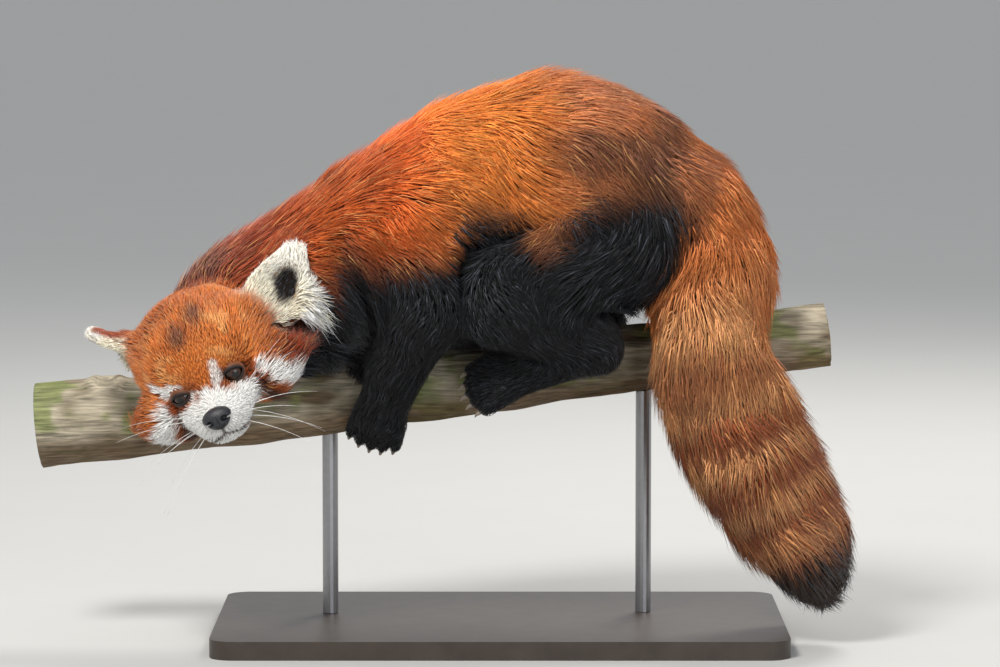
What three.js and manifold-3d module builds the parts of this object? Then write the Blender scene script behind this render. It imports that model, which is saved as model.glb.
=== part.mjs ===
// A life-size red panda at rest along a branch, as a museum shows it: the chest and belly lie on the branch,
// the head hangs in front of it and looks out, the left foreleg and hind foot grip its near side and the
// bushy tail hangs behind. The branch stands on a plain display stand.
// Millimetres. +Z is up, +X runs towards the tail, -Y faces the viewer who sees the animal's left side.
// The origin is the centre of the stand's underside.

import * as THREE from "three";
import { mergeVertices } from "three/addons/utils/BufferGeometryUtils.js";
import Module from "manifold-3d";

const wasm = await Module();
wasm.setup();
const { Manifold, Mesh } = wasm;

// Gap between two nodes that meet
const GAP = 0.3;

// Colours of the coat and the fittings
const RUST = 0xa8481c;
const CHESTNUT = 0x7c2e17;
const BLACK = 0x17151a;
const CREAM = 0xe8dfcb;
const OCHRE = 0xb5652c;
const BARK = 0x8d8371;
const DARK_WOOD = 0x3a3531;
const STEEL = 0x6b6b6e;

// Body stations: a point on the centre line, with the half width and half height out to the coat's tips
const TRUNK = [
  { at: [-132, -20, 262], wide: 60, high: 60 },
  { at: [-84, -6, 290], wide: 76, high: 82 },
  { at: [-14, 4, 318], wide: 82, high: 99 },
  { at: [54, 8, 337], wide: 84, high: 96 },
  { at: [106, 10, 331], wide: 76, high: 77 },
  { at: [143, 9, 320], wide: 52, high: 52 },
];
const NECK = [
  { at: [-228, -42, 216], wide: 42, high: 46 },
  { at: [-194, -32, 244], wide: 45, high: 58 },
  { at: [-156, -20, 266], wide: 49, high: 61 },
  { at: [-110, -10, 283], wide: 58, high: 71 },
];
const TAIL = [
  { at: [146, 9, 316], wide: 38, high: 38 },
  { at: [165, -14, 289], wide: 42, high: 42 },
  { at: [157, -49, 240], wide: 48, high: 48 },
  { at: [168, -53, 186], wide: 51, high: 51 },
  { at: [199, -50, 124], wide: 51, high: 51 },
  { at: [226, -44, 78], wide: 45, high: 45 },
  { at: [240, -41, 50], wide: 30, high: 30 },
];
const TAIL_LENGTHS = 5;

// Legs: each length runs from its upper joint to its lower one, and a paw from there to its toes
const LEFT_FORELEG = {
  shoulder: { at: [-74, -50, 296], wide: 36, high: 42 },
  elbow: { at: [-53, -77, 256], wide: 27, high: 30 },
  wrist: { at: [-80, -43, 202], wide: 18, high: 19 },
  palm: [-91, -27, 168],
  toes: [-98, -18, 147],
  sole: [0.1, 1, 0.2],
};
const RIGHT_FORELEG = {
  shoulder: { at: [-74, 52, 290], wide: 36, high: 42 },
  elbow: { at: [-44, 74, 242], wide: 27, high: 29 },
  wrist: { at: [-66, 34, 224], wide: 18, high: 18 },
  palm: [-92, 12, 214],
  toes: [-116, 4, 203],
  sole: [0.2, 0.1, -1],
};
const LEFT_HIND_LEG = {
  hip: { at: [92, -44, 304], wide: 44, high: 52 },
  knee: { at: [0, -80, 262], wide: 31, high: 34 },
  heel: { at: [74, -58, 226], wide: 21, high: 21 },
  ball: [2, -50, 203],
  toes: [-22, -48, 192],
  sole: [0, 0.85, -0.6],
};
const RIGHT_HIND_LEG = {
  hip: { at: [94, 60, 300], wide: 44, high: 52 },
  knee: { at: [4, 92, 258], wide: 31, high: 34 },
  heel: { at: [80, 74, 226], wide: 21, high: 21 },
  ball: [8, 56, 208],
  toes: [-15, 53, 199],
  sole: [0, -0.6, -0.85],
};
const PAW_HALF = 20;
const PAW_THICK = 13;
const TOES = 5;
const CLAW = 8;

// Coats: how deep the core lies under the tips, the rows of locks, and a lock's length, width and thickness.
// fall turns the locks down the flanks, in radians around the body over a lock's length.
const COATS = {
  torso: { inset: 11, rows: 6, around: 9, from: 0.04, to: 0.93, length: 80, wide: 52, thick: 6, fall: 0.4 },
  neck: { inset: 10, rows: 3, around: 8, from: 0.0, to: 0.7, length: 54, wide: 44, thick: 6, fall: 0.3 },
  tail: { inset: 20, rows: 8, around: 6, from: 0.02, to: 0.84, length: 80, wide: 46, thick: 6, fall: 0 },
  thigh: { inset: 7, rows: 2, around: 7, from: 0.15, to: 0.7, length: 56, wide: 34, thick: 5, fall: 0.15 },
  upper_arm: { inset: 6, rows: 2, around: 6, from: 0.15, to: 0.7, length: 40, wide: 28, thick: 5, fall: 0.1 },
};
const ROOT_SUNK = 5;
const BLUNT = 0.62;

// Head: its own axes in the part's frame, and its origin between the eyes' line and the throat
const HEAD_AT = [-213, -92, 210];
const HEAD_LEFT = new THREE.Vector3(0.897, -0.065, 0.437).normalize();
const HEAD_FORWARD = new THREE.Vector3(-0.014, -0.993, -0.12);
HEAD_FORWARD.addScaledVector(HEAD_LEFT, -HEAD_FORWARD.dot(HEAD_LEFT)).normalize();
const HEAD_UP = new THREE.Vector3().crossVectors(HEAD_LEFT, HEAD_FORWARD).negate();
const HEAD_AXES = [HEAD_LEFT, HEAD_FORWARD, HEAD_UP];

// Masses of the head in its own frame: centre and radii, left, forward and up
const HEAD_MASSES = [
  { at: [0, -12, 15], radii: [55, 54, 50] },
  { at: [0, 18, 12], radii: [38, 30, 32] },
  { at: [43, -2, -14], radii: [30, 38, 28] },
  { at: [-43, -2, -14], radii: [30, 38, 28] },
  { at: [0, 34, -19], radii: [29, 23, 18] },
  { at: [0, 53, -24], radii: [18, 19, 13.5] },
  { at: [0, 43, -34], radii: [15, 19, 9.5] },
];
const HEAD_BLEND = 5;
const HEAD_CORE = [0, 12, -6];
const EYE_AT = [20, 36, -0.5];
const EYE_RADIUS = 8.5;
const SOCKET = { at: [21.5, 47, -0.5], radii: [10, 7.5, 7] };
const LID = { reach: 9.2, wide: 2.2, high: 2.4 };
const NOSE_AT = [0, 69, -21];
const NOSE_RADII = [11.5, 8, 8.5];
const NOSTRIL_RADII = [2.4, 5, 1.9];
const MOUTH = [
  [24, 36, -34],
  [13, 55, -38],
  [0, 70, -36],
  [-13, 55, -38],
  [-24, 36, -34],
];
const MOUTH_GROOVE = 1.3;
const LOWER_LIP = 4;

// Ears: the middle of each base, the way it stands and the way across it to its fringe. The left ear faces out,
// and the right one is laid back.
const EARS = {
  left: { base: [62, -16, 24], upward: [0.73, -0.2, 0.65], across: [0.67, -0.06, -0.73], front: [0, 1, 0] },
  right: { base: [-49, -20, 41], upward: [-0.6, -0.7, 0.36], across: [0.39, -0.62, -0.68], front: [-0.7, 0.3, -0.65] },
};
const EAR = { half: 27, tall: 46, sunk: 16, thick: 8, skew: 0 };

// Branch and the stand that carries it
const BRANCH = [
  { at: [-352, 12, 158.5], wide: 33, high: 33 },
  { at: [-230, 13, 170], wide: 30, high: 30 },
  { at: [-110, 16, 184], wide: 27.5, high: 27.5 },
  { at: [20, 19, 199], wide: 26, high: 26 },
  { at: [140, 23, 214], wide: 25, high: 25 },
  { at: [250, 27, 228], wide: 24, high: 24 },
];
const STAND = { length: 430, depth: 250, thick: 14, corner: 18 };
const ROD_RADIUS = 6;
const RODS_X = [-130, 110];

// Seeded random draws, so that every run makes the same coat
let seed = 20251;
function draw(low, high) {
  seed = (seed + 0x6d2b79f5) | 0;
  let t = Math.imul(seed ^ (seed >>> 15), 1 | seed);
  t = (t + Math.imul(t ^ (t >>> 7), 61 | t)) ^ t;
  return low + ((high - low) * ((t ^ (t >>> 14)) >>> 0)) / 4294967296;
}

const vector = (p) => (p.isVector3 ? p.clone() : new THREE.Vector3(...p));
const mix = (a, b, t) => a + (b - a) * t;

// A solid from any closed three.js geometry, faced outwards
function solidOf(geometry) {
  const bare = geometry.index ? geometry.toNonIndexed() : geometry.clone();
  for (const name of Object.keys(bare.attributes)) {
    if (name !== "position") bare.deleteAttribute(name);
  }
  const merged = mergeVertices(bare, 1e-3);
  const corners = merged.index.array;
  const points = merged.attributes.position.array;
  const kept = [];
  for (let i = 0; i < corners.length; i += 3) {
    const [a, b, c] = [corners[i], corners[i + 1], corners[i + 2]];
    if (a !== b && b !== c && a !== c) kept.push(a, b, c);
  }
  const build = (triangles) =>
    new Manifold(
      new Mesh({ numProp: 3, vertProperties: points, triVerts: new Uint32Array(triangles) }),
    );
  const made = build(kept);
  if (made.volume() > 0) return made;
  for (let i = 0; i < kept.length; i += 3) [kept[i + 1], kept[i + 2]] = [kept[i + 2], kept[i + 1]];
  return build(kept);
}

const join = (pieces) => Manifold.union(pieces);
const cutBy = (solid, cutters) => (cutters.length ? solid.subtract(join(cutters)) : solid);

// The largest closed body of a solid
function largest(solid) {
  const bodies = solid.decompose();
  return bodies.length < 2 ? solid : bodies.reduce((a, b) => (b.volume() > a.volume() ? b : a));
}

// A rounded body swept along a smooth line through its stations
class Sweep {
  constructor(stations, { around = 14, along = 6, ends = 3, round = [0.8, 0.8], side = [0, 1, 0] } = {}) {
    Object.assign(this, { stations, around, along, ends, round, side: vector(side) });
    this.curve = new THREE.CatmullRomCurve3(stations.map((s) => vector(s.at)), false, "centripetal");
    this.length = this.curve.getLength();
    this.downTurn = this.frame(0.5).upward.z < 0 ? 1 : -1;
  }

  // Centre, axes and radii at share t of the line
  frame(t) {
    const tangent = this.curve.getTangent(t).normalize();
    const across = this.side.clone().addScaledVector(tangent, -this.side.dot(tangent)).normalize();
    const upward = new THREE.Vector3().crossVectors(across, tangent).normalize();
    const place = t * (this.stations.length - 1);
    const i = Math.min(Math.floor(place), this.stations.length - 2);
    const [a, b] = [this.stations[i], this.stations[i + 1]];
    return {
      centre: this.curve.getPoint(t),
      tangent,
      across,
      upward,
      wide: mix(a.wide, b.wide, place - i),
      high: mix(a.high, b.high, place - i),
    };
  }

  // A point on the surface at share t and an angle around, moved out by grow.
  // Past either end it follows the round end.
  point(t, angle, grow = 0) {
    const inside = THREE.MathUtils.clamp(t, 0, 1);
    const f = this.frame(inside);
    const past = (t - inside) * this.length;
    const reach = Math.max(1, (Math.min(f.wide, f.high) + grow) * this.round[t > 0.5 ? 1 : 0]);
    const fill = Math.sqrt(Math.max(0.04, 1 - (past / reach) ** 2));
    return f.centre
      .clone()
      .addScaledVector(f.tangent, THREE.MathUtils.clamp(past, -reach, reach))
      .addScaledVector(f.across, Math.cos(angle) * (f.wide + grow) * fill)
      .addScaledVector(f.upward, Math.sin(angle) * (f.high + grow) * fill);
  }

  // Whether a point lies within the sweep's form grown by a margin
  holds(p, margin = 0) {
    const steps = 16;
    for (let i = 0; i <= steps; i++) {
      const f = this.frame(i / steps);
      const v = p.clone().sub(f.centre);
      if (Math.abs(v.dot(f.tangent)) > this.length / steps + Math.max(0, margin)) continue;
      const x = v.dot(f.across) / (f.wide + margin);
      const y = v.dot(f.upward) / (f.high + margin);
      if (x * x + y * y < 1) return true;
    }
    return false;
  }

  solid(grow = 0) {
    const { around, along, ends } = this;
    const rows = along + 2 * ends;
    const shape = new THREE.SphereGeometry(1, around, rows);
    const position = shape.attributes.position;
    const uv = shape.attributes.uv;
    for (let i = 0; i < position.count; i++) {
      const row = Math.round((1 - uv.getY(i)) * rows);
      const angle = uv.getX(i) * 2 * Math.PI;
      const t = THREE.MathUtils.clamp((row - ends) / along, 0, 1);
      const f = this.frame(t);
      let [fill, beyond] = [1, 0];
      const end = row < ends ? 0 : row > rows - ends ? 1 : -1;
      if (end >= 0) {
        const bend = ((end ? rows - row : row) / ends) * (Math.PI / 2);
        const reach = (Math.min(f.wide, f.high) + grow) * this.round[end];
        fill = Math.sin(bend);
        beyond = Math.cos(bend) * reach * (end ? 1 : -1);
      }
      const p = f.centre
        .clone()
        .addScaledVector(f.tangent, beyond)
        .addScaledVector(f.across, Math.cos(angle) * (f.wide + grow) * fill)
        .addScaledVector(f.upward, Math.sin(angle) * (f.high + grow) * fill);
      position.setXYZ(i, p.x, p.y, p.z);
    }
    return solidOf(shape);
  }
}

// An ellipsoid with its own axes
function ellipsoid(at, radii, axes, around = 14, rows = 8) {
  const shape = new THREE.SphereGeometry(1, around, rows);
  shape.scale(...radii);
  shape.applyMatrix4(new THREE.Matrix4().makeBasis(...axes).setPosition(vector(at)));
  return solidOf(shape);
}

// A lock of coat: flat, tapered to its tip, bent through its points. grow thickens it for cutting others clear.
function lockSolid({ points, outward, wide, thick }, grow = 0) {
  const [sides, rows] = [3, 2];
  const shape = new THREE.ConeGeometry(1, 1, sides, rows);
  const position = shape.attributes.position;
  const curve = new THREE.QuadraticBezierCurve3(...points);
  const across = points[2].clone().sub(points[0]).cross(outward).normalize();
  for (let i = 0; i < position.count; i++) {
    const height = position.getY(i) + 0.5;
    const spread = Math.max(1e-6, 1 - height);
    const share = height ** BLUNT;
    const [x, z] = [position.getX(i) / spread, position.getZ(i) / spread];
    const tangent = curve.getTangent(Math.min(share, 0.98)).normalize();
    const flat = new THREE.Vector3().crossVectors(across, tangent).normalize();
    const p = curve.getPoint(share);
    if (share > 0.999) {
      p.addScaledVector(p.clone().sub(curve.getPoint(0.5)).normalize(), 3 * grow);
    } else {
      const taper = Math.sin(Math.PI * (0.24 + 0.76 * share)) ** 0.8;
      p.addScaledVector(across, x * ((wide / 2) * taper + 8 * grow));
      p.addScaledVector(flat, z * ((thick / 2) * taper + 2 * grow));
      p.addScaledVector(tangent, share < 0.001 ? -2 * grow : 0);
    }
    position.setXYZ(i, p.x, p.y, p.z);
  }
  return solidOf(shape);
}

// Locks in rows along a sweep. Each starts in the core, follows the body and ends at the outline.
function coatLocks(sweep, coat, keep) {
  const locks = [];
  for (let row = 0; row < coat.rows; row++) {
    const t0 = mix(coat.from, coat.to, row / (coat.rows - 1));
    for (let i = 0; i < coat.around; i++) {
      const turn = ((i + (row % 2) / 2 + draw(-0.1, 0.1)) / coat.around) * 2 * Math.PI;
      const length = coat.length * draw(0.88, 1.12);
      const start = Math.max(0.01, t0 + (draw(-0.12, 0.12) * length) / sweep.length);
      const fall = coat.fall * Math.cos(turn) * sweep.downTurn + draw(-0.05, 0.05);
      const step = length / sweep.length;
      const points = [
        sweep.point(start, turn, -coat.inset - ROOT_SUNK),
        sweep.point(start + step * 0.5, turn + fall * 0.5, -coat.inset * 0.3),
        sweep.point(start + step, turn + fall, draw(-1.5, 0)),
      ];
      const outward = points[1].clone().sub(sweep.point(start + step * 0.5, turn, -30)).normalize();
      const lock = { points, outward, wide: coat.wide * draw(0.88, 1.12), thick: coat.thick };
      if (keep(lock)) locks.push(lock);
    }
  }
  return locks;
}

// Head frame to the part's frame
const headPoint = (p) =>
  vector(HEAD_AT)
    .addScaledVector(HEAD_LEFT, p[0])
    .addScaledVector(HEAD_FORWARD, p[1])
    .addScaledVector(HEAD_UP, p[2]);
const headWay = (p) => headPoint(p).sub(vector(HEAD_AT)).normalize();
const onSide = (p, side) => [p[0] * side, p[1], p[2]];

// Depth of a point of the head's frame in its blended masses, below zero inside
function headDepth(p) {
  let sum = 0;
  for (const { at, radii } of HEAD_MASSES) {
    const q = p.map((v, k) => (v - at[k]) / radii[k]);
    const k0 = Math.hypot(...q);
    const k1 = Math.hypot(...q.map((v, k) => v / radii[k])) || 1e-6;
    sum += Math.exp(-((k0 * (k0 - 1)) / k1) / HEAD_BLEND);
  }
  return -HEAD_BLEND * Math.log(Math.max(sum, 1e-12));
}

// The head's skin as one radius for each way out of its core
function headForm(grow = 0, around = 24, rows = 16) {
  const shape = new THREE.SphereGeometry(1, around, rows);
  const position = shape.attributes.position;
  for (let i = 0; i < position.count; i++) {
    const way = [position.getX(i), position.getY(i), position.getZ(i)];
    let [low, high] = [5, 110];
    while (high - low > 0.01) {
      const middle = (low + high) / 2;
      if (headDepth(way.map((w, k) => HEAD_CORE[k] + w * middle)) < 0) low = middle;
      else high = middle;
    }
    const p = headPoint(way.map((w, k) => HEAD_CORE[k] + w * (low + grow)));
    position.setXYZ(i, p.x, p.y, p.z);
  }
  return solidOf(shape);
}

// Eyeball, and the two lids that close round it in an almond
const eyeball = (side, grow = 0) =>
  ellipsoid(headPoint(onSide(EYE_AT, side)), Array(3).fill(EYE_RADIUS + grow), HEAD_AXES, 12, 8);
function lid(side, above) {
  const facing = [0.45, 0.88, 0];
  const place = (turn) => {
    const [x, y] = [Math.cos(turn) * LID.reach, Math.sin(turn) * LID.reach * 0.62];
    return [EYE_AT[0] + x * 0.88 + facing[0] * 6, EYE_AT[1] - x * 0.45 + facing[1] * 6, EYE_AT[2] + y];
  };
  const turns = [0.1, 0.9, Math.PI - 0.9, Math.PI - 0.1].map((turn) => (above ? turn : -turn));
  const stations = turns.map((turn) => ({
    at: headPoint(onSide(place(turn), side)),
    wide: LID.wide,
    high: LID.high,
  }));
  return new Sweep(stations, { around: 5, along: 4, ends: 1, round: [1, 1], side: headWay([0, 1, 0]) }).solid();
}

// A thin body along the line of the mouth, lowered by drop
function mouthLine(radius, drop) {
  const stations = MOUTH.map(([l, f, u]) => ({
    at: headPoint([l, f - drop * 0.4, u - drop]),
    wide: radius,
    high: radius,
  }));
  const options = { around: 5, along: 6, ends: 1, round: [1, 1], side: headWay([0, 0, 1]) };
  return new Sweep(stations, options).solid();
}

function nosePad(grow = 0) {
  const pad = ellipsoid(headPoint(NOSE_AT), NOSE_RADII.map((r) => r + grow), HEAD_AXES, 14, 10);
  if (grow) return pad;
  const nostrils = [-1, 1].map((side) =>
    ellipsoid(headPoint([side * 5.2, NOSE_AT[1] + 8.5, NOSE_AT[2] - 1.5]), NOSTRIL_RADII, HEAD_AXES, 8, 5),
  );
  return cutBy(pad, nostrils);
}

// An ear: a thick pointed leaf with a cup hollowed in its front
function earAxes(ear) {
  const upward = headWay(ear.upward);
  const across = headWay(ear.across);
  across.addScaledVector(upward, -across.dot(upward)).normalize();
  const front = new THREE.Vector3().crossVectors(across, upward).normalize();
  if (front.dot(headWay(ear.front)) < 0) front.negate();
  return { upward, across, front, base: headPoint(ear.base) };
}
function earForm(set, grow = 0) {
  const { upward, across, front, base } = earAxes(set);
  const leaf = new THREE.SphereGeometry(1, 14, 9);
  const position = leaf.attributes.position;
  for (let i = 0; i < position.count; i++) {
    const [x, y, z] = [position.getX(i), position.getY(i), position.getZ(i)];
    const height = (y + 1) / 2;
    const narrow = 1 - 0.45 * height ** 1.6;
    const p = base
      .clone()
      .addScaledVector(across, x * (EAR.half + grow) * narrow + EAR.skew * height ** 1.5)
      .addScaledVector(upward, mix(-EAR.sunk - grow, EAR.tall + grow, height))
      .addScaledVector(front, z * (EAR.thick + grow) + 7 * x * x * narrow);
    position.setXYZ(i, p.x, p.y, p.z);
  }
  const whole = solidOf(leaf);
  if (grow) return whole;
  const middle = base.clone().addScaledVector(upward, 15).addScaledVector(front, 11).addScaledVector(across, -2);
  return whole.subtract(ellipsoid(middle, [17, 19, 11], [across, upward, front], 10, 6));
}
function earLocks(set) {
  const { upward, across, front, base } = earAxes(set);
  const place = (x, y, z) =>
    base.clone().addScaledVector(across, x).addScaledVector(upward, y).addScaledVector(front, z);
  const locks = [];
  for (let i = 0; i < 5; i++) {
    const share = i / 4;
    const reach = mix(22, 12, share);
    const low = mix(-6, 26, share);
    locks.push({
      points: [
        place(mix(19, 12, share), low, 2),
        place(mix(27, 20, share), low + 4, 4),
        place(mix(26, 18, share) + reach * 0.8, low + mix(-4, 10, share), 3),
      ],
      outward: front,
      wide: 14,
      thick: 5,
    });
  }
  return locks;
}

// Ruff of the cheeks: locks in two rows that sweep back and out from the side of the face
function ruffLocks(side) {
  const locks = [];
  for (let row = 0; row < 2; row++) {
    for (let i = 0; i < 5; i++) {
      const turn = mix(-1.15, 0.75, (i + row / 2) / 4.5);
      const [back, up, out] = [mix(6, -20, row), Math.sin(turn), Math.cos(turn)];
      const root = [mix(50, 54, row) * out + 4, back, -14 + 34 * up];
      const bend = [66 * out + 6, back - 14, -15 + 42 * up];
      const tip = [mix(74, 84, row) * out + 8, back - draw(30, 38), -17 + 50 * up];
      const points = [root, bend, tip].map((p) => headPoint(onSide(p, side)));
      locks.push({ points, outward: headWay(onSide([out, 0.3, up], side)), wide: 26, thick: 6 });
    }
  }
  return locks;
}

// A paw: palm and toes as one body, with a claw at each toe
function pawSolid({ wrist, palm, toes: tips, sole: down }, grow = 0) {
  const [start, middle, end] = [vector(wrist), vector(palm), vector(tips)];
  const forward = end.clone().sub(middle).normalize();
  const sole = vector(down);
  sole.addScaledVector(forward, -sole.dot(forward)).normalize();
  const across = new THREE.Vector3().crossVectors(forward, sole).normalize();
  const bar = (from, to, options) => new Sweep([from, to], { side: across, ...options });
  const pieces = [
    bar(
      { at: start, wide: PAW_HALF * 0.82, high: PAW_THICK },
      { at: middle, wide: PAW_HALF, high: PAW_THICK },
      { around: 10, along: 1, ends: 2, round: [0.5, 0.9] },
    ).solid(grow),
  ];
  const reach = end.distanceTo(middle);
  for (let i = 0; i < TOES; i++) {
    const spread = (i / (TOES - 1)) * 2 - 1;
    const root = middle.clone().addScaledVector(across, spread * PAW_HALF * 0.72);
    const tip = root
      .clone()
      .addScaledVector(forward, reach * (1 - 0.22 * spread * spread))
      .addScaledVector(across, spread * PAW_HALF * 0.16)
      .addScaledVector(sole, PAW_THICK * 0.35);
    pieces.push(
      bar(
        { at: root, wide: PAW_HALF * 0.27, high: PAW_THICK * 0.8 },
        { at: tip, wide: PAW_HALF * 0.23, high: PAW_THICK * 0.52 },
        { around: 6, along: 1, ends: 2, round: [0.5, 1] },
      ).solid(grow),
    );
    const hook = tip.clone().addScaledVector(forward, PAW_HALF * 0.14);
    const point = hook.clone().addScaledVector(forward, CLAW * 0.6).addScaledVector(sole, CLAW * 0.8);
    const claw = bar(
      { at: hook, wide: 1.8, high: 2.4 },
      { at: point, wide: 0.5, high: 0.6 },
      { around: 4, along: 1, ends: 1, round: [1, 1] },
    );
    pieces.push(claw.solid(grow));
  }
  return join(pieces);
}

// Every node as a function of how much it is grown, in the order in which later nodes are cut by earlier ones
const forms = [];
const place = (name, colour, form) => forms.push({ name, colour, form });

// A swept core with its coat of locks
function coated(sweep, coat, keep) {
  const locks = coatLocks(sweep, coat, keep);
  return (grow) => join([sweep.solid(grow - coat.inset), ...locks.map((lock) => lockSolid(lock, grow))]);
}

const branch = new Sweep(BRANCH, { around: 14, along: 7, ends: 1, round: [0.12, 0.12] });
const trunk = new Sweep(TRUNK, { around: 12, along: 6, ends: 2, round: [0.75, 0.8] });
const neck = new Sweep(NECK, { around: 10, along: 3, ends: 2, round: [0.5, 0.6] });
const tail = new Sweep(TAIL, { around: 9, along: 10, ends: 2, round: [0.3, 0.95] });

// Keeps a lock whose outer half lies clear of the given sweeps
const clearOf = (sweeps, margin = -3) => ({ points }) =>
  !sweeps.some((s) => s.holds(points[1], margin) || s.holds(points[2], margin));

const limbs = [];
for (const [side, leg] of Object.entries({ left: LEFT_FORELEG, right: RIGHT_FORELEG })) {
  const upper = new Sweep([leg.shoulder, leg.elbow], { along: 3, around: 12 });
  const lower = new Sweep([leg.elbow, leg.wrist], { along: 3, around: 12, ends: 2, round: [0.9, 0.6] });
  const paw = { ...leg, wrist: leg.wrist.at };
  limbs.push({ side, upper, lower, paw, names: ["upper_arm", "forearm", "forepaw"] });
}
for (const [side, leg] of Object.entries({ left: LEFT_HIND_LEG, right: RIGHT_HIND_LEG })) {
  const upper = new Sweep([leg.hip, leg.knee], { along: 4, around: 14 });
  const lower = new Sweep([leg.knee, leg.heel], { along: 3, around: 12, ends: 2 });
  const paw = { ...leg, wrist: leg.heel.at, palm: leg.ball };
  limbs.push({ side, upper, lower, paw, names: ["thigh", "shank", "hind_foot"] });
}

place("perch", BARK, (grow) => branch.solid(grow));
for (const { side, paw, names } of limbs) place(`${names[2]}_${side}`, BLACK, (grow) => pawSolid(paw, grow));
for (const { side, lower, names } of limbs) place(`${names[1]}_${side}`, BLACK, (grow) => lower.solid(grow));
for (const { side, upper, lower, names } of limbs) {
  place(`${names[0]}_${side}`, BLACK, coated(upper, COATS[names[0]], clearOf([lower, branch])));
}

// Face first, so that the head is cut round its eyes, nose and ears
for (const [name, side] of Object.entries({ left: 1, right: -1 })) {
  place(`eye_${name}`, BLACK, (grow) => eyeball(side, grow));
  const fringe = earLocks(EARS[name]);
  const ear = (grow) => join([earForm(EARS[name], grow), ...fringe.map((lock) => lockSolid(lock, grow))]);
  place(`ear_${name}`, CREAM, ear);
}
place("nose", BLACK, nosePad);
const ruff = [...ruffLocks(1), ...ruffLocks(-1)];
place("head", RUST, (grow) => {
  const bulk = join([headForm(grow), ...ruff.map((lock) => lockSolid(lock, grow))]);
  if (grow) return bulk;
  const lids = [1, -1].flatMap((side) => [lid(side, true), lid(side, false)]);
  const sockets = [1, -1].map((side) =>
    ellipsoid(headPoint(onSide(SOCKET.at, side)), SOCKET.radii, HEAD_AXES, 10, 6),
  );
  const face = join([cutBy(bulk, sockets), ...lids, mouthLine(LOWER_LIP, LOWER_LIP)]);
  return face.subtract(mouthLine(MOUTH_GROOVE, 0));
});

// Tail: one sweep parted into lengths by planes across it. A lock belongs to the length that its root is in.
const tailLocks = coatLocks(tail, COATS.tail, clearOf([branch]));
const partings = Array.from({ length: TAIL_LENGTHS + 1 }, (_, i) => tail.frame(i / TAIL_LENGTHS));
const past = (p, f) => f.tangent.dot(p) - f.tangent.dot(f.centre);
for (let i = 0; i < TAIL_LENGTHS; i++) {
  const [upper, lower] = [i > 0 && partings[i], i < TAIL_LENGTHS - 1 && partings[i + 1]];
  const own = tailLocks.filter(
    ({ points: [root] }) => (!upper || past(root, upper) >= 0) && (!lower || past(root, lower) < 0),
  );
  place(`tail_${i + 1}`, OCHRE, (grow) => {
    let core = tail.solid(grow - COATS.tail.inset);
    if (upper) core = core.trimByPlane(upper.tangent.toArray(), upper.tangent.dot(upper.centre) - grow);
    if (lower) {
      const facing = lower.tangent.clone().negate();
      core = core.trimByPlane(facing.toArray(), facing.dot(lower.centre) - grow);
    }
    return join([core, ...own.map((lock) => lockSolid(lock, grow))]);
  });
}

const legSweeps = limbs.flatMap(({ upper, lower }) => [upper, lower]);
place("neck", CHESTNUT, coated(neck, COATS.neck, clearOf([branch, ...legSweeps])));
place("torso", RUST, coated(trunk, COATS.torso, clearOf([branch, ...legSweeps, tail])));

// Stand: a flat base with round corners and two rods up to the branch
function standBase() {
  const { length, depth, thick, corner } = STAND;
  const outline = new THREE.Shape();
  const [x, y] = [length / 2 - corner, depth / 2 - corner];
  outline.absarc(x, y, corner, 0, Math.PI / 2);
  outline.absarc(-x, y, corner, Math.PI / 2, Math.PI);
  outline.absarc(-x, -y, corner, Math.PI, 1.5 * Math.PI);
  outline.absarc(x, -y, corner, 1.5 * Math.PI, 2 * Math.PI);
  return solidOf(new THREE.ExtrudeGeometry(outline, { depth: thick, bevelEnabled: false, curveSegments: 6 }));
}
function standRod(x) {
  const share = (x - BRANCH[0].at[0]) / (BRANCH.at(-1).at[0] - BRANCH[0].at[0]);
  const { centre } = branch.frame(share);
  const foot = STAND.thick + GAP;
  const rod = new THREE.CylinderGeometry(ROD_RADIUS, ROD_RADIUS, centre.z - foot, 16);
  rod.rotateX(Math.PI / 2);
  rod.translate(x, centre.y, (centre.z + foot) / 2);
  return solidOf(rod);
}
place("stand_base", DARK_WOOD, standBase);
RODS_X.forEach((x, i) => place(`stand_rod_${i + 1}`, STEEL, () => standRod(x)));

// The finished scene: each node is cut clear of those placed before it
const panda = new THREE.Group();
const cutters = [];
const touches = (a, b) => [0, 1, 2].every((k) => a.min[k] < b.max[k] && b.min[k] < a.max[k]);
for (const { name, colour, form } of forms) {
  const whole = form(0);
  const near = cutters.filter((c) => touches(c.boundingBox(), whole.boundingBox()));
  const solid = largest(cutBy(whole, near));
  if (!name.startsWith("stand_")) cutters.push(whole.add(form(GAP)));
  const mesh = solid.getMesh();
  const geometry = new THREE.BufferGeometry();
  geometry.setAttribute("position", new THREE.BufferAttribute(mesh.vertProperties, 3));
  geometry.setIndex(new THREE.BufferAttribute(mesh.triVerts, 1));
  geometry.computeVertexNormals();
  const material = new THREE.MeshStandardMaterial({ color: colour, roughness: 0.9, metalness: 0 });
  const part = new THREE.Mesh(geometry, material);
  part.name = name;
  panda.add(part);
}

export default panda;
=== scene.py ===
import math

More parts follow.
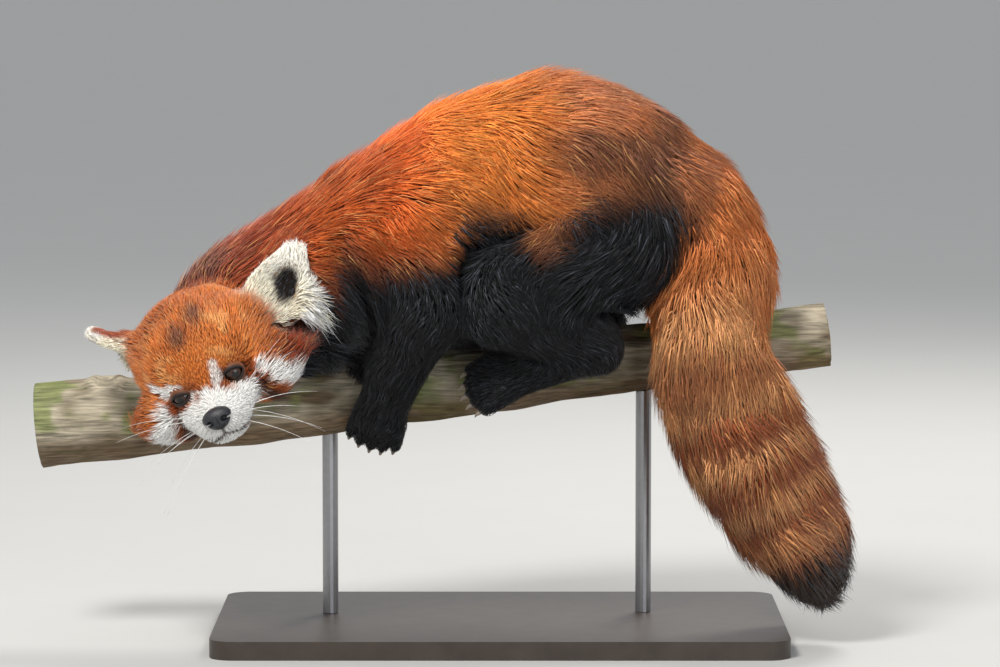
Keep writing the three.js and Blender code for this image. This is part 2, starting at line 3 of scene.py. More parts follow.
import bmesh
import bpy
import numpy as np
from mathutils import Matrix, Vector


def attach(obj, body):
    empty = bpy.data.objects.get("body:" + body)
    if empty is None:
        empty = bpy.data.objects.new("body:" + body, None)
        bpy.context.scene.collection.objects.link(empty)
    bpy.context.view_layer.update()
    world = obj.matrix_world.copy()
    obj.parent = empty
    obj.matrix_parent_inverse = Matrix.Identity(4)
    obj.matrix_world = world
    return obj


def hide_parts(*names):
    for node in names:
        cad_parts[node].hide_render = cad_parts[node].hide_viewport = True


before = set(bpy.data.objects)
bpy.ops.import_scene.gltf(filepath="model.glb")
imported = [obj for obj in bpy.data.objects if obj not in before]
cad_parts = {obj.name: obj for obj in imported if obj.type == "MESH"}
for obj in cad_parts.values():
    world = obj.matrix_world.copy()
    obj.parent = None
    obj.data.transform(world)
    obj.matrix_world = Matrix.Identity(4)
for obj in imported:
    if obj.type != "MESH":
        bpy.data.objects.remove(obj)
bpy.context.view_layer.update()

# Looks of a life-size red panda at rest along a branch: one skin under a coat of tufts, with eyes, nose,
# claws and whiskers of their own, on a cut branch and a plain stand. Metres, in the part's own frame.

MM = 0.001
FLESH = ["torso", "neck", "head", "ear_left", "ear_right"]
FLESH += [f"tail_{i}" for i in range(1, 6)]
for limb in ("upper_arm", "forearm", "forepaw", "thigh", "shank", "hind_foot"):
    FLESH += [f"{limb}_left", f"{limb}_right"]

# Body stations in mm: a point on the centre line, with the half width and half height out to the coat's tips
TRUNK = [
    (-132, -20, 262, 60, 60),
    (-84, -6, 290, 76, 82),
    (-14, 4, 318, 82, 99),
    (54, 8, 337, 84, 96),
    (106, 10, 331, 76, 77),
    (143, 9, 320, 52, 52),
]
NECK = [
    (-228, -42, 216, 42, 46),
    (-194, -32, 244, 45, 58),
    (-156, -20, 266, 49, 61),
    (-110, -10, 283, 58, 71),
]
TAIL = [
    (146, 9, 316, 38, 38),
    (165, -14, 289, 42, 42),
    (157, -49, 240, 48, 48),
    (168, -53, 186, 51, 51),
    (199, -50, 124, 51, 51),
    (226, -44, 78, 45, 45),
    (240, -41, 50, 30, 30),
]
# Flesh that fills the crook between the trunk's end and the tail
RUMP = [(112, 9, 322, 62, 66), (146, 2, 300, 54, 58), (160, -26, 262, 47, 49)]
BRANCH = [
    (-352, 12, 158.5, 33, 33),
    (-230, 13, 170, 30, 30),
    (-110, 16, 184, 27.5, 27.5),
    (20, 19, 199, 26, 26),
    (140, 23, 214, 25, 25),
    (250, 27, 228, 24, 24),
]
# Legs: upper joint, middle joint, lower joint, then the ball of the paw, its toes and the way its sole faces
LEGS = {
    "foreleg_left": {
        "bones": [(-74, -50, 296, 36, 42), (-53, -77, 256, 27, 30), (-80, -43, 202, 18, 19)],
        "paw": [(-91, -27, 168), (-98, -18, 147), (0.1, 1, 0.2)],
    },
    "foreleg_right": {
        "bones": [(-74, 52, 290, 36, 42), (-44, 74, 242, 27, 29), (-66, 34, 224, 18, 18)],
        "paw": [(-92, 12, 214), (-116, 4, 203), (0.2, 0.1, -1)],
    },
    "hindleg_left": {
        "bones": [(92, -44, 304, 44, 52), (0, -80, 262, 31, 34), (74, -58, 226, 21, 21)],
        "paw": [(2, -50, 203), (-22, -48, 192), (0, 0.85, -0.6)],
    },
    "hindleg_right": {
        "bones": [(94, 60, 300, 44, 52), (4, 92, 258, 31, 34), (80, 74, 226, 21, 21)],
        "paw": [(8, 56, 208), (-15, 53, 199), (0, -0.6, -0.85)],
    },
}
PAW_HALF = 20
PAW_THICK = 13
TOES = 5
CLAW = 8
CLAW_REACH = 11

# Head: its own axes, and its masses in them: left, forward and up
HEAD_AT = np.array([-213, -92, 210]) * MM
HEAD_MASSES = [
    ((0, -12, 15), (55, 54, 50)),
    ((0, 18, 12), (38, 30, 32)),
    ((43, -2, -14), (30, 38, 28)),
    ((-43, -2, -14), (30, 38, 28)),
    ((0, 34, -19), (29, 23, 18)),
    ((0, 53, -24), (18, 19, 13.5)),
    ((0, 43, -34), (15, 19, 9.5)),
]
EYE_AT = (20, 36, -0.5)
EYE_RADIUS = 8.5
SOCKET_AT = (21.5, 47, -0.5)
SOCKET_RADII = (10.5, 8.5, 7)
NOSE_AT = (0, 69, -21)
NOSE_RADII = (11.5, 8, 8.5)
MOUTH = [(24, 36, -34), (13, 55, -38), (0, 70, -36), (-13, 55, -38), (-24, 36, -34)]
# Ears: the middle of each base, the way it stands, the way across it to its fringe and the way its cup faces
EARS = {
    "ear_left": ((62, -16, 24), (0.73, -0.2, 0.65), (0.67, -0.06, -0.73), (0, 1, 0)),
    "ear_right": ((-49, -20, 41), (-0.6, -0.7, 0.36), (0.39, -0.62, -0.68), (-0.7, 0.3, -0.65)),
}
EAR_HALF = 27
EAR_TALL = 46
EAR_SUNK = 16
EAR_THICK = 8

CELL = 3.2 * MM
BLEND = 6 * MM
# In mm of the head's axes
HEAD_BLEND = 5

rng = np.random.default_rng(3)


def unit(v):
    v = np.asarray(v, float)
    return v / np.maximum(np.linalg.norm(v, axis=-1, keepdims=True), 1e-12)


def ramp(x, low, high):
    """0 below low, 1 above high, smooth between. low may be the greater."""
    t = np.clip((x - low) / (high - low), 0, 1)
    return t * t * (3 - 2 * t)


def mix(a, b, t):
    """From a to b by the share t, where a and b are numbers or colours."""
    if np.ndim(a) or np.ndim(b):
        t = np.asarray(t)[..., None]
    return a + (b - a) * t


LATTICE = np.random.default_rng(11).random((32, 32, 32))


def grain(p, size, seed=0):
    """Smooth noise from 0 to 1 over places p, with features about size across."""
    q = p / size + 17.3 * seed
    i = np.floor(q).astype(int)
    w = q - i
    w = w * w * (3 - 2 * w)
    total = np.zeros(len(p))
    for corner in range(8):
        step = np.array([corner & 1, corner >> 1 & 1, corner >> 2 & 1])
        share = np.prod(np.where(step == 1, w, 1 - w), axis=1)
        at = (i + step) % 32
        total += share * LATTICE[at[:, 0], at[:, 1], at[:, 2]]
    return total


# Head axes
HEAD_LEFT = unit((0.897, -0.065, 0.437))
HEAD_FORWARD = np.array([-0.014, -0.993, -0.12])
HEAD_FORWARD = unit(HEAD_FORWARD - HEAD_LEFT * (HEAD_FORWARD @ HEAD_LEFT))
HEAD_UP = -np.cross(HEAD_LEFT, HEAD_FORWARD)
HEAD_AXES = np.array([HEAD_LEFT, HEAD_FORWARD, HEAD_UP])


def head_point(p):
    """Places in mm of the head's axes, in the part's frame."""
    return HEAD_AT + np.asarray(p, float) * MM @ HEAD_AXES


def in_head(p):
    """Places in the part's frame, in mm of the head's axes."""
    return (p - HEAD_AT) @ HEAD_AXES.T / MM


def curve_at(points, share):
    """Place and direction at a share of a smooth line through points."""
    last = len(points) - 1
    i = min(int(share * last), last - 1)
    w = share * last - i
    p1, p2 = points[i], points[i + 1]
    p0 = points[i - 1] if i > 0 else 2 * p1 - p2
    p3 = points[i + 2] if i + 2 <= last else 2 * p2 - p1
    d0, d1, d2 = (np.sum((b - a) ** 2) ** 0.25 for a, b in ((p0, p1), (p1, p2), (p2, p3)))
    m1 = ((p1 - p0) / d0 - (p2 - p0) / (d0 + d1) + (p2 - p1) / d1) * d1
    m2 = ((p2 - p1) / d1 - (p3 - p1) / (d1 + d2) + (p3 - p2) / d2) * d1
    c2 = 3 * (p2 - p1) - 2 * m1 - m2
    c3 = 2 * (p1 - p2) + m1 + m2
    return p1 + m1 * w + c2 * w * w + c3 * w**3, unit(m1 + 2 * c2 * w + 3 * c3 * w * w)


def ellipsoid_distance(q, radii):
    k0 = np.sqrt(((q / radii) ** 2).sum(-1))
    k1 = np.sqrt(((q / radii**2) ** 2).sum(-1))
    return k0 * (k0 - 1) / np.maximum(k1, 1e-9)


def smooth_union(distances, blend):
    total = sum(np.exp(-np.minimum(d / blend, 60)) for d in distances)
    return -blend * np.log(np.maximum(total, 1e-26))


class Sweep:
    """A rounded body swept along a smooth line through stations."""

    def __init__(self, stations, side=(0, 1, 0), ends=(0.8, 0.8), count=24):
        table = np.array(stations, float) * MM
        points = table[:, :3]
        self.count, self.ends = count, ends
        rows = [curve_at(points, i / count) for i in range(count + 1)]
        self.centre = np.array([r[0] for r in rows])
        self.tangent = np.array([r[1] for r in rows])
        side = np.asarray(side, float)
        self.across = unit(side - self.tangent * (self.tangent @ side)[:, None])
        self.upward = np.cross(self.across, self.tangent)
        place = np.linspace(0, len(table) - 1, count + 1)
        self.wide = np.interp(place, range(len(table)), table[:, 3])
        self.high = np.interp(place, range(len(table)), table[:, 4])
        reach = max(self.wide.max(), self.high.max())
        self.low = self.centre.min(0) - reach
        self.top = self.centre.max(0) + reach
        self.length = np.linalg.norm(np.diff(self.centre, axis=0), axis=1).sum()

    def share(self, p):
        """Share of the line nearest to each place."""
        best = np.full(len(p), np.inf)
        found = np.zeros(len(p))
        for i in range(self.count):
            a = self.centre[i]
            b = self.centre[i + 1] - a
            u = np.clip((p - a) @ b / (b @ b), 0, 1)
            d = ((p - a - u[:, None] * b) ** 2).sum(1)
            nearer = d < best
            best[nearer] = d[nearer]
            found[nearer] = (i + u[nearer]) / self.count
        return found

    def local(self, p):
        """Share, tangent, and place across, upward and past the ends, with the two radii."""
        share = self.share(p)
        place = share * self.count
        i = np.minimum(place.astype(int), self.count - 1)
        w = place - i

        def at(values):
            v = w[:, None] if values.ndim == 2 else w
            return values[i] * (1 - v) + values[i + 1] * v

        rest = p - at(self.centre)
        tangent = unit(at(self.tangent))
        x = (rest * at(self.across)).sum(1)
        y = (rest * at(self.upward)).sum(1)
        z = (rest * tangent).sum(1) * ((share <= 0) | (share >= 1))
        return share, tangent, x, y, z, at(self.wide), at(self.high)

    def distance(self, p, inset=0.0):
        share, _, x, y, z, wide, high = self.local(p)
        rx, ry = np.maximum(wide - inset, 3 * MM), np.maximum(high - inset, 3 * MM)
        rz = np.minimum(rx, ry) * np.where(share < 0.5, self.ends[0], self.ends[1])
        return ellipsoid_distance(np.stack([x, y, z], -1), np.stack([rx, ry, rz], -1))


# Colours, in linear light
def rgb(*v):
    return np.array(v, float)


MAHOGANY = rgb(0.27, 0.05, 0.018)
RUST = rgb(0.6, 0.115, 0.018)
ORANGE = rgb(0.82, 0.24, 0.042)
GRIZZLED = rgb(0.46, 0.155, 0.055)
PURPLE_BROWN = rgb(0.13, 0.05, 0.03)
GINGER = rgb(0.66, 0.19, 0.034)
GOLD = rgb(0.88, 0.46, 0.16)
BLACK = rgb(0.0065, 0.007, 0.0085)
# Bluish grey that is painted onto some black tufts as painted sheen
SHEEN_GREY = rgb(0.055, 0.062, 0.078)
WHITE = rgb(1.0, 0.985, 0.95)
CREAM = rgb(1.0, 0.91, 0.72)
BUFF = rgb(0.82, 0.4, 0.165)
RING_RUST = rgb(0.3, 0.07, 0.022)
DARK_BROWN = rgb(0.045, 0.024, 0.015)

# Height of the line between the orange flank and the black underside, in mm, along X
BLACK_LINE = [(-200, 236), (-150, 258), (-121, 275), (-76, 281), (-46, 287), (-15, 309)]
BLACK_LINE += [(2, 316), (34, 296), (76, 326), (114, 340), (150, 300), (170, 280)]
TAIL_ROOT = rgb(0.62, 0.19, 0.05)
NAPE_GREY = rgb(0.2, 0.1, 0.075)
TEMPLE_RED = rgb(0.24, 0.036, 0.011)
# Colours along the back, by X in mm
BACK_COLOURS = [
    (-230, MAHOGANY * 1.1),
    (-180, MAHOGANY * 1.5),
    (-135, RUST * 0.78),
    (-105, RUST * 0.9),
    (-70, RUST * 1.15),
    (-25, ORANGE * 1.05),
    (25, ORANGE * 0.95),
    (60, GRIZZLED * 1.3),
    (105, GRIZZLED * 1.05),
    (135, GRIZZLED * 1.15),
    (160, TAIL_ROOT),
]


def body_colour(p):
    x, z = p[:, 0] / MM, p[:, 2] / MM
    xs = [row[0] for row in BACK_COLOURS]
    shades = [row[1] for row in BACK_COLOURS]
    colour = np.stack([np.interp(x, xs, [c[k] for c in shades]) for k in range(3)], -1)
    patch = ramp(grain(p, 34 * MM, 1), 0.48, 0.72) * ramp(x, 0, 70) * ramp(x, 150, 120)
    colour = mix(colour, PURPLE_BROWN, 0.75 * patch)
    streak = ramp(grain(p * [1, 1, 0.5], 16 * MM, 2), 0.55, 0.85)
    colour = colour * (1 - 0.3 * streak)[:, None]
    # Painted highlight: the top of the back is painted lighter, where the light from above and behind falls
    # on it
    top = ramp(z, 330, 400)
    colour = mix(colour, colour * 1.25, top)
    # A grey-brown saddle lies over the nape, behind the crown
    nape = spot(x, z, (-214, 279), 15, 11) + spot(x, z, (-238, 265), 13, 10)
    colour = mix(colour, NAPE_GREY, 0.8 * np.clip(nape, 0, 1))
    edge = np.interp(x, [row[0] for row in BLACK_LINE], [row[1] for row in BLACK_LINE])
    edge = edge + (grain(p, 22 * MM, 3) - 0.5) * 26
    brown = ramp(z, edge + 26, edge + 4)
    colour = mix(colour, PURPLE_BROWN * 0.8, brown * 0.8)
    dark = ramp(z, edge + 10, edge - 8)
    return mix(colour, BLACK, dark)


def leg_colour(p):
    return BLACK * (0.8 + 0.8 * grain(p, 14 * MM, 4))[:, None]


def rump_colour(p):
    return TAIL_ROOT * (0.8 + 0.4 * grain(p, 18 * MM, 12))[:, None]


# Rings down the tail: share of its line, and how rusty it is there
TAIL_RINGS = [(0.0, 0.7), (0.1, 0.5), (0.16, 0.15), (0.28, 0.3), (0.38, 0.1), (0.42, 0.7), (0.46, 0.7)]
TAIL_RINGS += [(0.495, 0.1), (0.515, 0.1), (0.54, 0.95), (0.575, 0.95), (0.595, 0.12), (0.61, 0.12)]
TAIL_RINGS += [(0.63, 1.0), (0.66, 1.0), (0.685, 0.1), (0.7, 0.1), (0.72, 0.95), (0.755, 0.95)]
TAIL_RINGS += [(0.78, 0.3), (0.8, 0.3), (0.83, 0.9)]


def tail_colour(p, share):
    wave = share + (grain(p, 20 * MM, 5) - 0.5) * 0.03
    rust = np.interp(wave, [r[0] for r in TAIL_RINGS], [r[1] for r in TAIL_RINGS])
    colour = mix(BUFF, RING_RUST, rust)
    root = ramp(share, 0.22, 0.08)
    colour = mix(colour, TAIL_ROOT, root)
    return mix(colour, DARK_BROWN, ramp(wave, 0.83, 0.9))


def spot(l, u, at, radius, soft):
    return ramp(np.hypot(l - at[0], u - at[1]), radius + soft, radius - soft)


def line_distance(q, points):
    """Distance from places q to a line along points."""
    best = np.full(len(q), np.inf)
    for a, b in zip(points[:-1], points[1:]):
        a, b = np.array(a, float), np.array(b, float)
        t = np.clip((q - a) @ (b - a) / ((b - a) @ (b - a)), 0, 1)
        best = np.minimum(best, np.linalg.norm(q - a - t[:, None] * (b - a), axis=1))
    return best


def band(l, u, points, width, soft):
    """Share within a band along a line of points, in the head's left and up."""
    return ramp(line_distance(np.stack([l, u], -1), points) - width, soft, -soft)


def head_colour(p):
    q = in_head(p)
    l, f, u = np.abs(q[:, 0]), q[:, 1], q[:, 2]
    jitter = (grain(p, 5 * MM, 6) - 0.5) * 5
    side = l * np.where(q[:, 0] < 0, 1.12, 1.0) + jitter
    up = u + jitter
    gold = ramp(grain(p, 7 * MM, 7), 0.4, 0.8) * ramp(f, 0, 25) * ramp(u, 4, 22) * ramp(l, 6, 22)
    colour = mix(GINGER, GOLD, gold * 0.65)
    crown = ramp(grain(p, 15 * MM, 13), 0.35, 0.75) * ramp(u, 20, 45)
    colour = mix(colour, RUST * 0.6, 0.55 * crown)
    for at in ((10, 46), (-5, 38)):
        colour = mix(colour, PURPLE_BROWN, 0.8 * spot(q[:, 0], u, at, 6, 4) * ramp(f, -40, -10))
    temple = ramp(l, 42, 58) * ramp(u, 38, 16) * np.where(q[:, 0] < 0, 0.5, 1.0)
    colour = mix(colour, TEMPLE_RED, 0.97 * temple)
    colour = mix(colour, MAHOGANY * 1.6, ramp(f, -22, -52) * 0.8)
    colour = mix(colour, RUST * 0.5, spot(side, up, (12, -1), 8, 4) * ramp(f, 30, 36) * 0.85)
    # Brow spots, cheek patches, muzzle and chin are white, with a rust stripe down from each eye
    across = q[:, 0] + jitter
    brow = 0.8 * band(across, up, [(9.5, 1), (10.5, 7), (12, 14)], 2.9, 1.8)
    brow += band(across, up, [(-14, -3), (-23, 6), (-35, 12)], 3.6, 1.8)
    colour = mix(colour, WHITE, np.clip(brow, 0, 1) * ramp(f, 14, 22))
    wide = np.where(q[:, 0] < 0, 8.0, 6.2)
    patch = band(side, up, [(39, -8), (50, -15), (57, -25), (54, -36)], wide, 2.2) * ramp(f, -14, -4)
    colour = mix(colour, WHITE, patch)
    stripe = band(side, up, [(26, -4), (35, -14), (40, -26), (40, -42)], 7, 3)
    colour = mix(colour, RUST * 0.55, stripe)
    colour = mix(colour, DARK_BROWN, 0.85 * band(side, up, [(36, -18), (38, -28), (40, -42)], 4.5, 4))
    muzzle = ramp(up + 0.3 * np.maximum(side - 10, 0), -4, -8) * ramp(side, 35, 30) * ramp(f, 18, 27)
    bridge = ramp(side, 11, 7) * ramp(up, 0, -4) * ramp(f, 34, 40)
    colour = mix(colour, WHITE, np.maximum(muzzle, bridge))
    under = ramp(u, -36, -44) * ramp(f, 40, 20)
    colour = mix(colour, BLACK * 1.5, under * ramp(f, 24, 8))
    # The mouth line and the line down from the nose are dark lip skin, with painted shade in the mouth's
    # crease
    lip_line_and_crease_shade = band(l, u, [(0, -28), (0, -35), (12, -38.5), (24, -34)], 1.1, 0.9) * ramp(f, 30, 36)
    return mix(colour, DARK_BROWN, lip_line_and_crease_shade * 0.9)


class Form:
    """A region of the body: its skin, and what its coat is like."""

    def __init__(self, name, piece, height, length, width, density, colour, pull=0.35, clump=9.0):
        self.name, self.piece = name, piece
        self.height, self.length, self.width = height * MM, length * MM, width * MM
        self.density, self.colour_of, self.pull, self.clump = density, colour, pull, clump * MM

    def colour(self, p):
        return self.colour_of(p)


class SweepForm(Form):
    def __init__(self, name, piece, stations, colour, fall=0.0, ends=(0.8, 0.8), **coat):
        super().__init__(name, piece, colour=colour, **coat)
        self.sweep = Sweep(stations, ends=ends)
        self.fall = fall
        self.low, self.top = self.sweep.low, self.sweep.top

    def distance(self, p):
        return self.sweep.distance(p, self.height)

    def lie(self, p, normal):
        tangent = self.sweep.local(p)[1]
        down = np.array([0, 0, -1.0])
        return tangent + self.fall * (down - normal * (normal @ down)[:, None])

    def chart(self, p):
        share, _, x, y, z, _, _ = self.sweep.local(p)
        past = np.clip(z / self.sweep.length, -0.3, 0.3)
        return np.stack([np.arctan2(y, x) / (2 * math.pi) + 0.5, (share + past + 0.3) / 1.6], -1)

    def traits(self, p):
        one = np.ones(len(p))
        return self.height * one, self.length * one, self.width * one


class TailForm(SweepForm):
    def colour(self, p):
        return tail_colour(p, self.sweep.share(p))


class HeadForm(Form):
    def __init__(self):
        super().__init__("head", "head", 8, 15, 0.8, 0.62, head_colour, pull=0.3, clump=4)
        self.low = head_point([0, 0, 0]) - 0.1
        self.top = head_point([0, 0, 0]) + 0.1

    def depth(self, q):
        """Coat depth in mm over the head."""
        l, f, u = np.abs(q[:, 0]), q[:, 1], q[:, 2]
        cheek = ramp(l, 34, 56) * ramp(u, 22, 2) * ramp(f, 34, 12)
        back = ramp(f, 0, -30)
        muzzle = ramp(f, 26, 44)
        return (7 + 7 * cheek + 3 * back) * (1 - muzzle) + 2.2 * muzzle

    def distance(self, p):
        q = in_head(p)
        masses = [ellipsoid_distance(q - at, np.array(r, float)) for at, r in HEAD_MASSES]
        d = smooth_union(masses, HEAD_BLEND) + self.depth(q)
        for side in (1, -1):
            at = np.array([SOCKET_AT[0] * side, SOCKET_AT[1], SOCKET_AT[2]])
            socket = ellipsoid_distance(q - at, np.array(SOCKET_RADII))
            d = -smooth_union([-d, socket], 1.2)
        d = -smooth_union([-d, line_distance(q, MOUTH) - 1.4], 0.8)
        return d * MM

    def lie(self, p, normal):
        q = in_head(p)
        way = q - np.array([0, 60, -14])
        way[:, 1] -= 22 * ramp(q[:, 1], 30, -10)
        way[:, 0] *= 1 + 0.5 * ramp(q[:, 2], 10, -20)
        ruff = ramp(np.abs(q[:, 0]), 46, 62) * ramp(q[:, 2], 18, 0)
        way[:, 0] += 110 * np.sign(q[:, 0]) * ruff
        return unit(way @ HEAD_AXES)

    def chart(self, p):
        q = unit(in_head(p) - np.array([0, 12, -6]))
        turn = np.arctan2(q[:, 0], q[:, 1]) / (2 * math.pi)
        return np.stack([turn + 0.5, np.arcsin(q[:, 2]) / math.pi + 0.5], -1)

    def traits(self, p):
        q = in_head(p)
        l, f, u = np.abs(q[:, 0]), q[:, 1], q[:, 2]
        cheek = ramp(l, 36, 58) * ramp(u, 22, 2) * ramp(f, 30, 8)
        ruff = ramp(l, 52, 66) * ramp(u, 16, -4)
        height = (self.depth(q) + 15 * ruff) * MM
        muzzle = ramp(f, 26, 48)
        length = (12 + 14 * cheek + 10 * ruff + 6 * ramp(f, 0, -30)) * (1 - muzzle) + 4.5 * muzzle
        near_eye = ramp(np.linalg.norm(np.stack([l, f, u], -1) - np.array(EYE_AT), axis=1), 20, 11)
        length = length * (1 - 0.6 * near_eye)
        return height, length * MM, (0.75 - 0.2 * muzzle) * MM


class EarForm(Form):
    def __init__(self, name):
        super().__init__(name, "ears", 3, 12, 0.7, 0.9, None, pull=0.2, clump=4)
        base, upward, across, front = EARS[name]
        self.upward = unit(upward) @ HEAD_AXES
        across = unit(across) @ HEAD_AXES
        self.across = unit(across - self.upward * (across @ self.upward))
        self.front = np.cross(self.across, self.upward)
        if self.front @ (np.array(front) @ HEAD_AXES) < 0:
            self.front = -self.front
        self.base = head_point(base)
        self.low, self.top = self.base - 0.07, self.base + 0.07

    def local(self, p):
        """Place across, up and to the front of the leaf, height share, half width and offset, in mm."""
        q = (p - self.base) / MM
        y = q @ self.upward
        height = np.clip((y + EAR_SUNK) / (EAR_TALL + EAR_SUNK), 0, 1)
        narrow = 1 - 0.45 * height**1.6
        x = q @ self.across
        share = np.clip(x / (EAR_HALF * narrow), -1.3, 1.3)
        z = q @ self.front - 7 * share**2 * narrow
        return x, y, z, height, EAR_HALF * narrow, q

    def distance(self, p):
        x, y, z, _, half, q = self.local(p)
        middle = (EAR_TALL - EAR_SUNK) / 2
        tall = (EAR_TALL + EAR_SUNK) / 2
        radii = np.stack([half - 3, np.full(len(p), tall - 3.0), np.full(len(p), EAR_THICK - 3.0)], -1)
        d = ellipsoid_distance(np.stack([x, y - middle, z], -1), radii)
        cup = np.stack([q @ self.across + 2, q @ self.upward - 16, q @ self.front - 11], -1)
        return -smooth_union([-d, ellipsoid_distance(cup, np.array([18.0, 20.0, 11.5]))], 1.5) * MM

    def lie(self, p, normal):
        x, _, _, height, half, _ = self.local(p)
        spread = np.clip(x / half, -1, 1) * mix(0.8, -0.7, ramp(height, 0.45, 0.9))
        inside = ramp(normal @ self.front, 0.2, 0.7)
        way = self.upward + (spread * (1 - 0.6 * inside))[:, None] * self.across
        fringe = self.across - 0.3 * self.upward
        return mix(way, fringe, self.fringe(x, half, height))

    def fringe(self, x, half, height):
        """Share of the long hair that hangs from the outer edge."""
        return ramp(x / half, 0.35, 0.8) * ramp(height, 0.64, 0.42) * ramp(height, 0.1, 0.26)

    def colour(self, p):
        x, y, z, height, half, _ = self.local(p)
        edge = np.abs(x / half)
        back = ramp(z, -0.5, -3)
        cup = spot(x * 1.15 + (grain(p, 6 * MM, 14) - 0.5) * 7, y * 0.85, (4, 13.5), 12.5, 4)
        rim = mix(CREAM, WHITE, 0.5 * ramp(height, 0.3, 0.9))
        colour = mix(rim, DARK_BROWN * 0.2, cup * (1 - back))
        rear = mix(MAHOGANY * 1.3, WHITE, ramp(edge, 0.7, 0.9) + ramp(height, 0.86, 0.97))
        return mix(colour, np.clip(rear, 0, 0.9), back)

    def chart(self, p):
        x, _, z, height, half, _ = self.local(p)
        flat = np.clip(x / half, -1.2, 1.2) / 5.2 + 0.25 + 0.5 * (z < 0)
        return np.stack([flat, height * 0.48 + (0.5 if self.name == "ear_left" else 0.01)], -1)

    def traits(self, p):
        x, y, _, height, half, _ = self.local(p)
        outer = self.fringe(x, half, height)
        rim = ramp(np.abs(x / half), 0.5, 0.9)
        tip = ramp(height, 0.75, 0.95)
        cup = spot(x, y, (3, 16), 14, 3)
        length = 7 - 3.5 * cup + 3 * rim + 3 * tip + 19 * outer
        lift = 3 - 1.5 * cup + 4 * tip + 15 * outer
        return lift * MM, length * MM, 0.7 * MM + 0 * x


class PawForm(Form):
    def __init__(self, name, piece, start, paw):
        super().__init__(name, piece, 4, 8, 0.7, 0.5, leg_colour, pull=0.15, clump=4)
        palm, toes, sole = (np.array(v, float) for v in paw)
        start = np.array(start[:3], float)
        self.forward = unit(toes - palm)
        self.sole = unit(sole - self.forward * (sole @ self.forward))
        self.across = np.cross(self.forward, self.sole)
        spans = [[(*start, PAW_HALF * 0.82, PAW_THICK), (*palm, PAW_HALF, PAW_THICK)]]
        reach = np.linalg.norm(toes - palm)
        self.tips = []
        for i in range(TOES):
            spread = i / (TOES - 1) * 2 - 1
            root = palm + self.across * spread * PAW_HALF * 0.72
            tip = root + self.forward * reach * (1 - 0.22 * spread**2)
            tip = tip + self.across * spread * PAW_HALF * 0.16 + self.sole * PAW_THICK * 0.35
            heel = (*root, PAW_HALF * 0.27, PAW_THICK * 0.8)
            spans.append([heel, (*tip, PAW_HALF * 0.23, PAW_THICK * 0.52)])
            self.tips.append(tip * MM)
        ends = [(0.5, 0.9)] + [(0.5, 1.0)] * TOES
        self.parts = [Sweep(s, side=self.across, ends=e, count=4) for s, e in zip(spans, ends)]
        self.low = np.min([s.low for s in self.parts], 0)
        self.top = np.max([s.top for s in self.parts], 0)

    def distance(self, p):
        inset = [2.6 * MM] + [0.8 * MM] * TOES
        return smooth_union([s.distance(p, i) for s, i in zip(self.parts, inset)], 1.6 * MM)

    def lie(self, p, normal):
        return np.repeat(self.forward[None], len(p), 0)

    def chart(self, p):
        q = p - self.parts[0].centre[0]
        u = np.arctan2(q @ self.across, q @ self.sole) / (2 * math.pi) + 0.5
        return np.stack([u, np.clip(q @ self.forward / 0.16 + 0.25, 0, 1)], -1)

    def traits(self, p):
        q = (p - self.parts[0].centre[-1]) @ self.forward
        one = ramp(q, 0.02, -0.02)
        return (1.6 + 1.6 * one) * MM, (5 + 7 * one) * MM, 0.6 * MM + 0 * one


LONG_COAT = {"height": 19, "length": 44, "width": 1.35, "density": 0.33, "pull": 0.45, "clump": 11}
NECK_COAT = {"height": 17, "length": 36, "width": 1.2, "density": 0.36}
TAIL_COAT = {"height": 25, "length": 48, "width": 1.3, "density": 0.4, "pull": 0.4, "clump": 11}
LOWER_COAT = {"height": 7, "length": 18, "width": 0.9, "density": 0.4, "clump": 6}
FORMS = [
    SweepForm("torso", "torso", TRUNK, body_colour, 0.95, (0.75, 0.8), **LONG_COAT),
    SweepForm("rump", "torso", RUMP, rump_colour, 0.2, (0.6, 0.6), **LONG_COAT),
    SweepForm("neck", "neck", NECK, body_colour, 0.4, (0.5, 0.6), **NECK_COAT),
    TailForm("tail", "tail", TAIL, None, 0.0, (0.3, 0.95), **TAIL_COAT),
]
for limb, leg in LEGS.items():
    kind, bones = limb[:7], leg["bones"]
    depth, long = (13, 32) if kind == "hindleg" else (10, 26)
    upper = {"height": depth, "length": long, "width": 1.2, "density": 0.34}
    FORMS.append(SweepForm(limb + "_upper", kind, bones[:2], body_colour, 0.3, (0.8, 0.8), **upper))
    FORMS.append(SweepForm(limb + "_lower", kind, bones[1:], leg_colour, 0.1, (0.8, 0.8), **LOWER_COAT))
    FORMS.append(PawForm(limb + "_paw", kind, bones[2], leg["paw"]))
HEAD = HeadForm()
FORMS += [HEAD, EarForm("ear_left"), EarForm("ear_right")]
branch = Sweep(BRANCH, ends=(0.12, 0.12))


# How far past its own box a form still shapes the skin
REACH = 30 * MM


def skin_distance(p):
    """Signed distance to the skin, below zero inside."""
    total = np.full(len(p), 1e-26)
    for form in FORMS:
        near = np.all((p > form.low - REACH) & (p < form.top + REACH), axis=1)
        if near.any():
            total[near] += np.exp(-np.clip(form.distance(p[near]) / BLEND, -60, 60))
    return -BLEND * np.log(total)


def skin_normal(p, step=0.4 * MM):
    return unit(np.stack([skin_distance(p + s) - skin_distance(p - s) for s in step * np.eye(3)], -1))


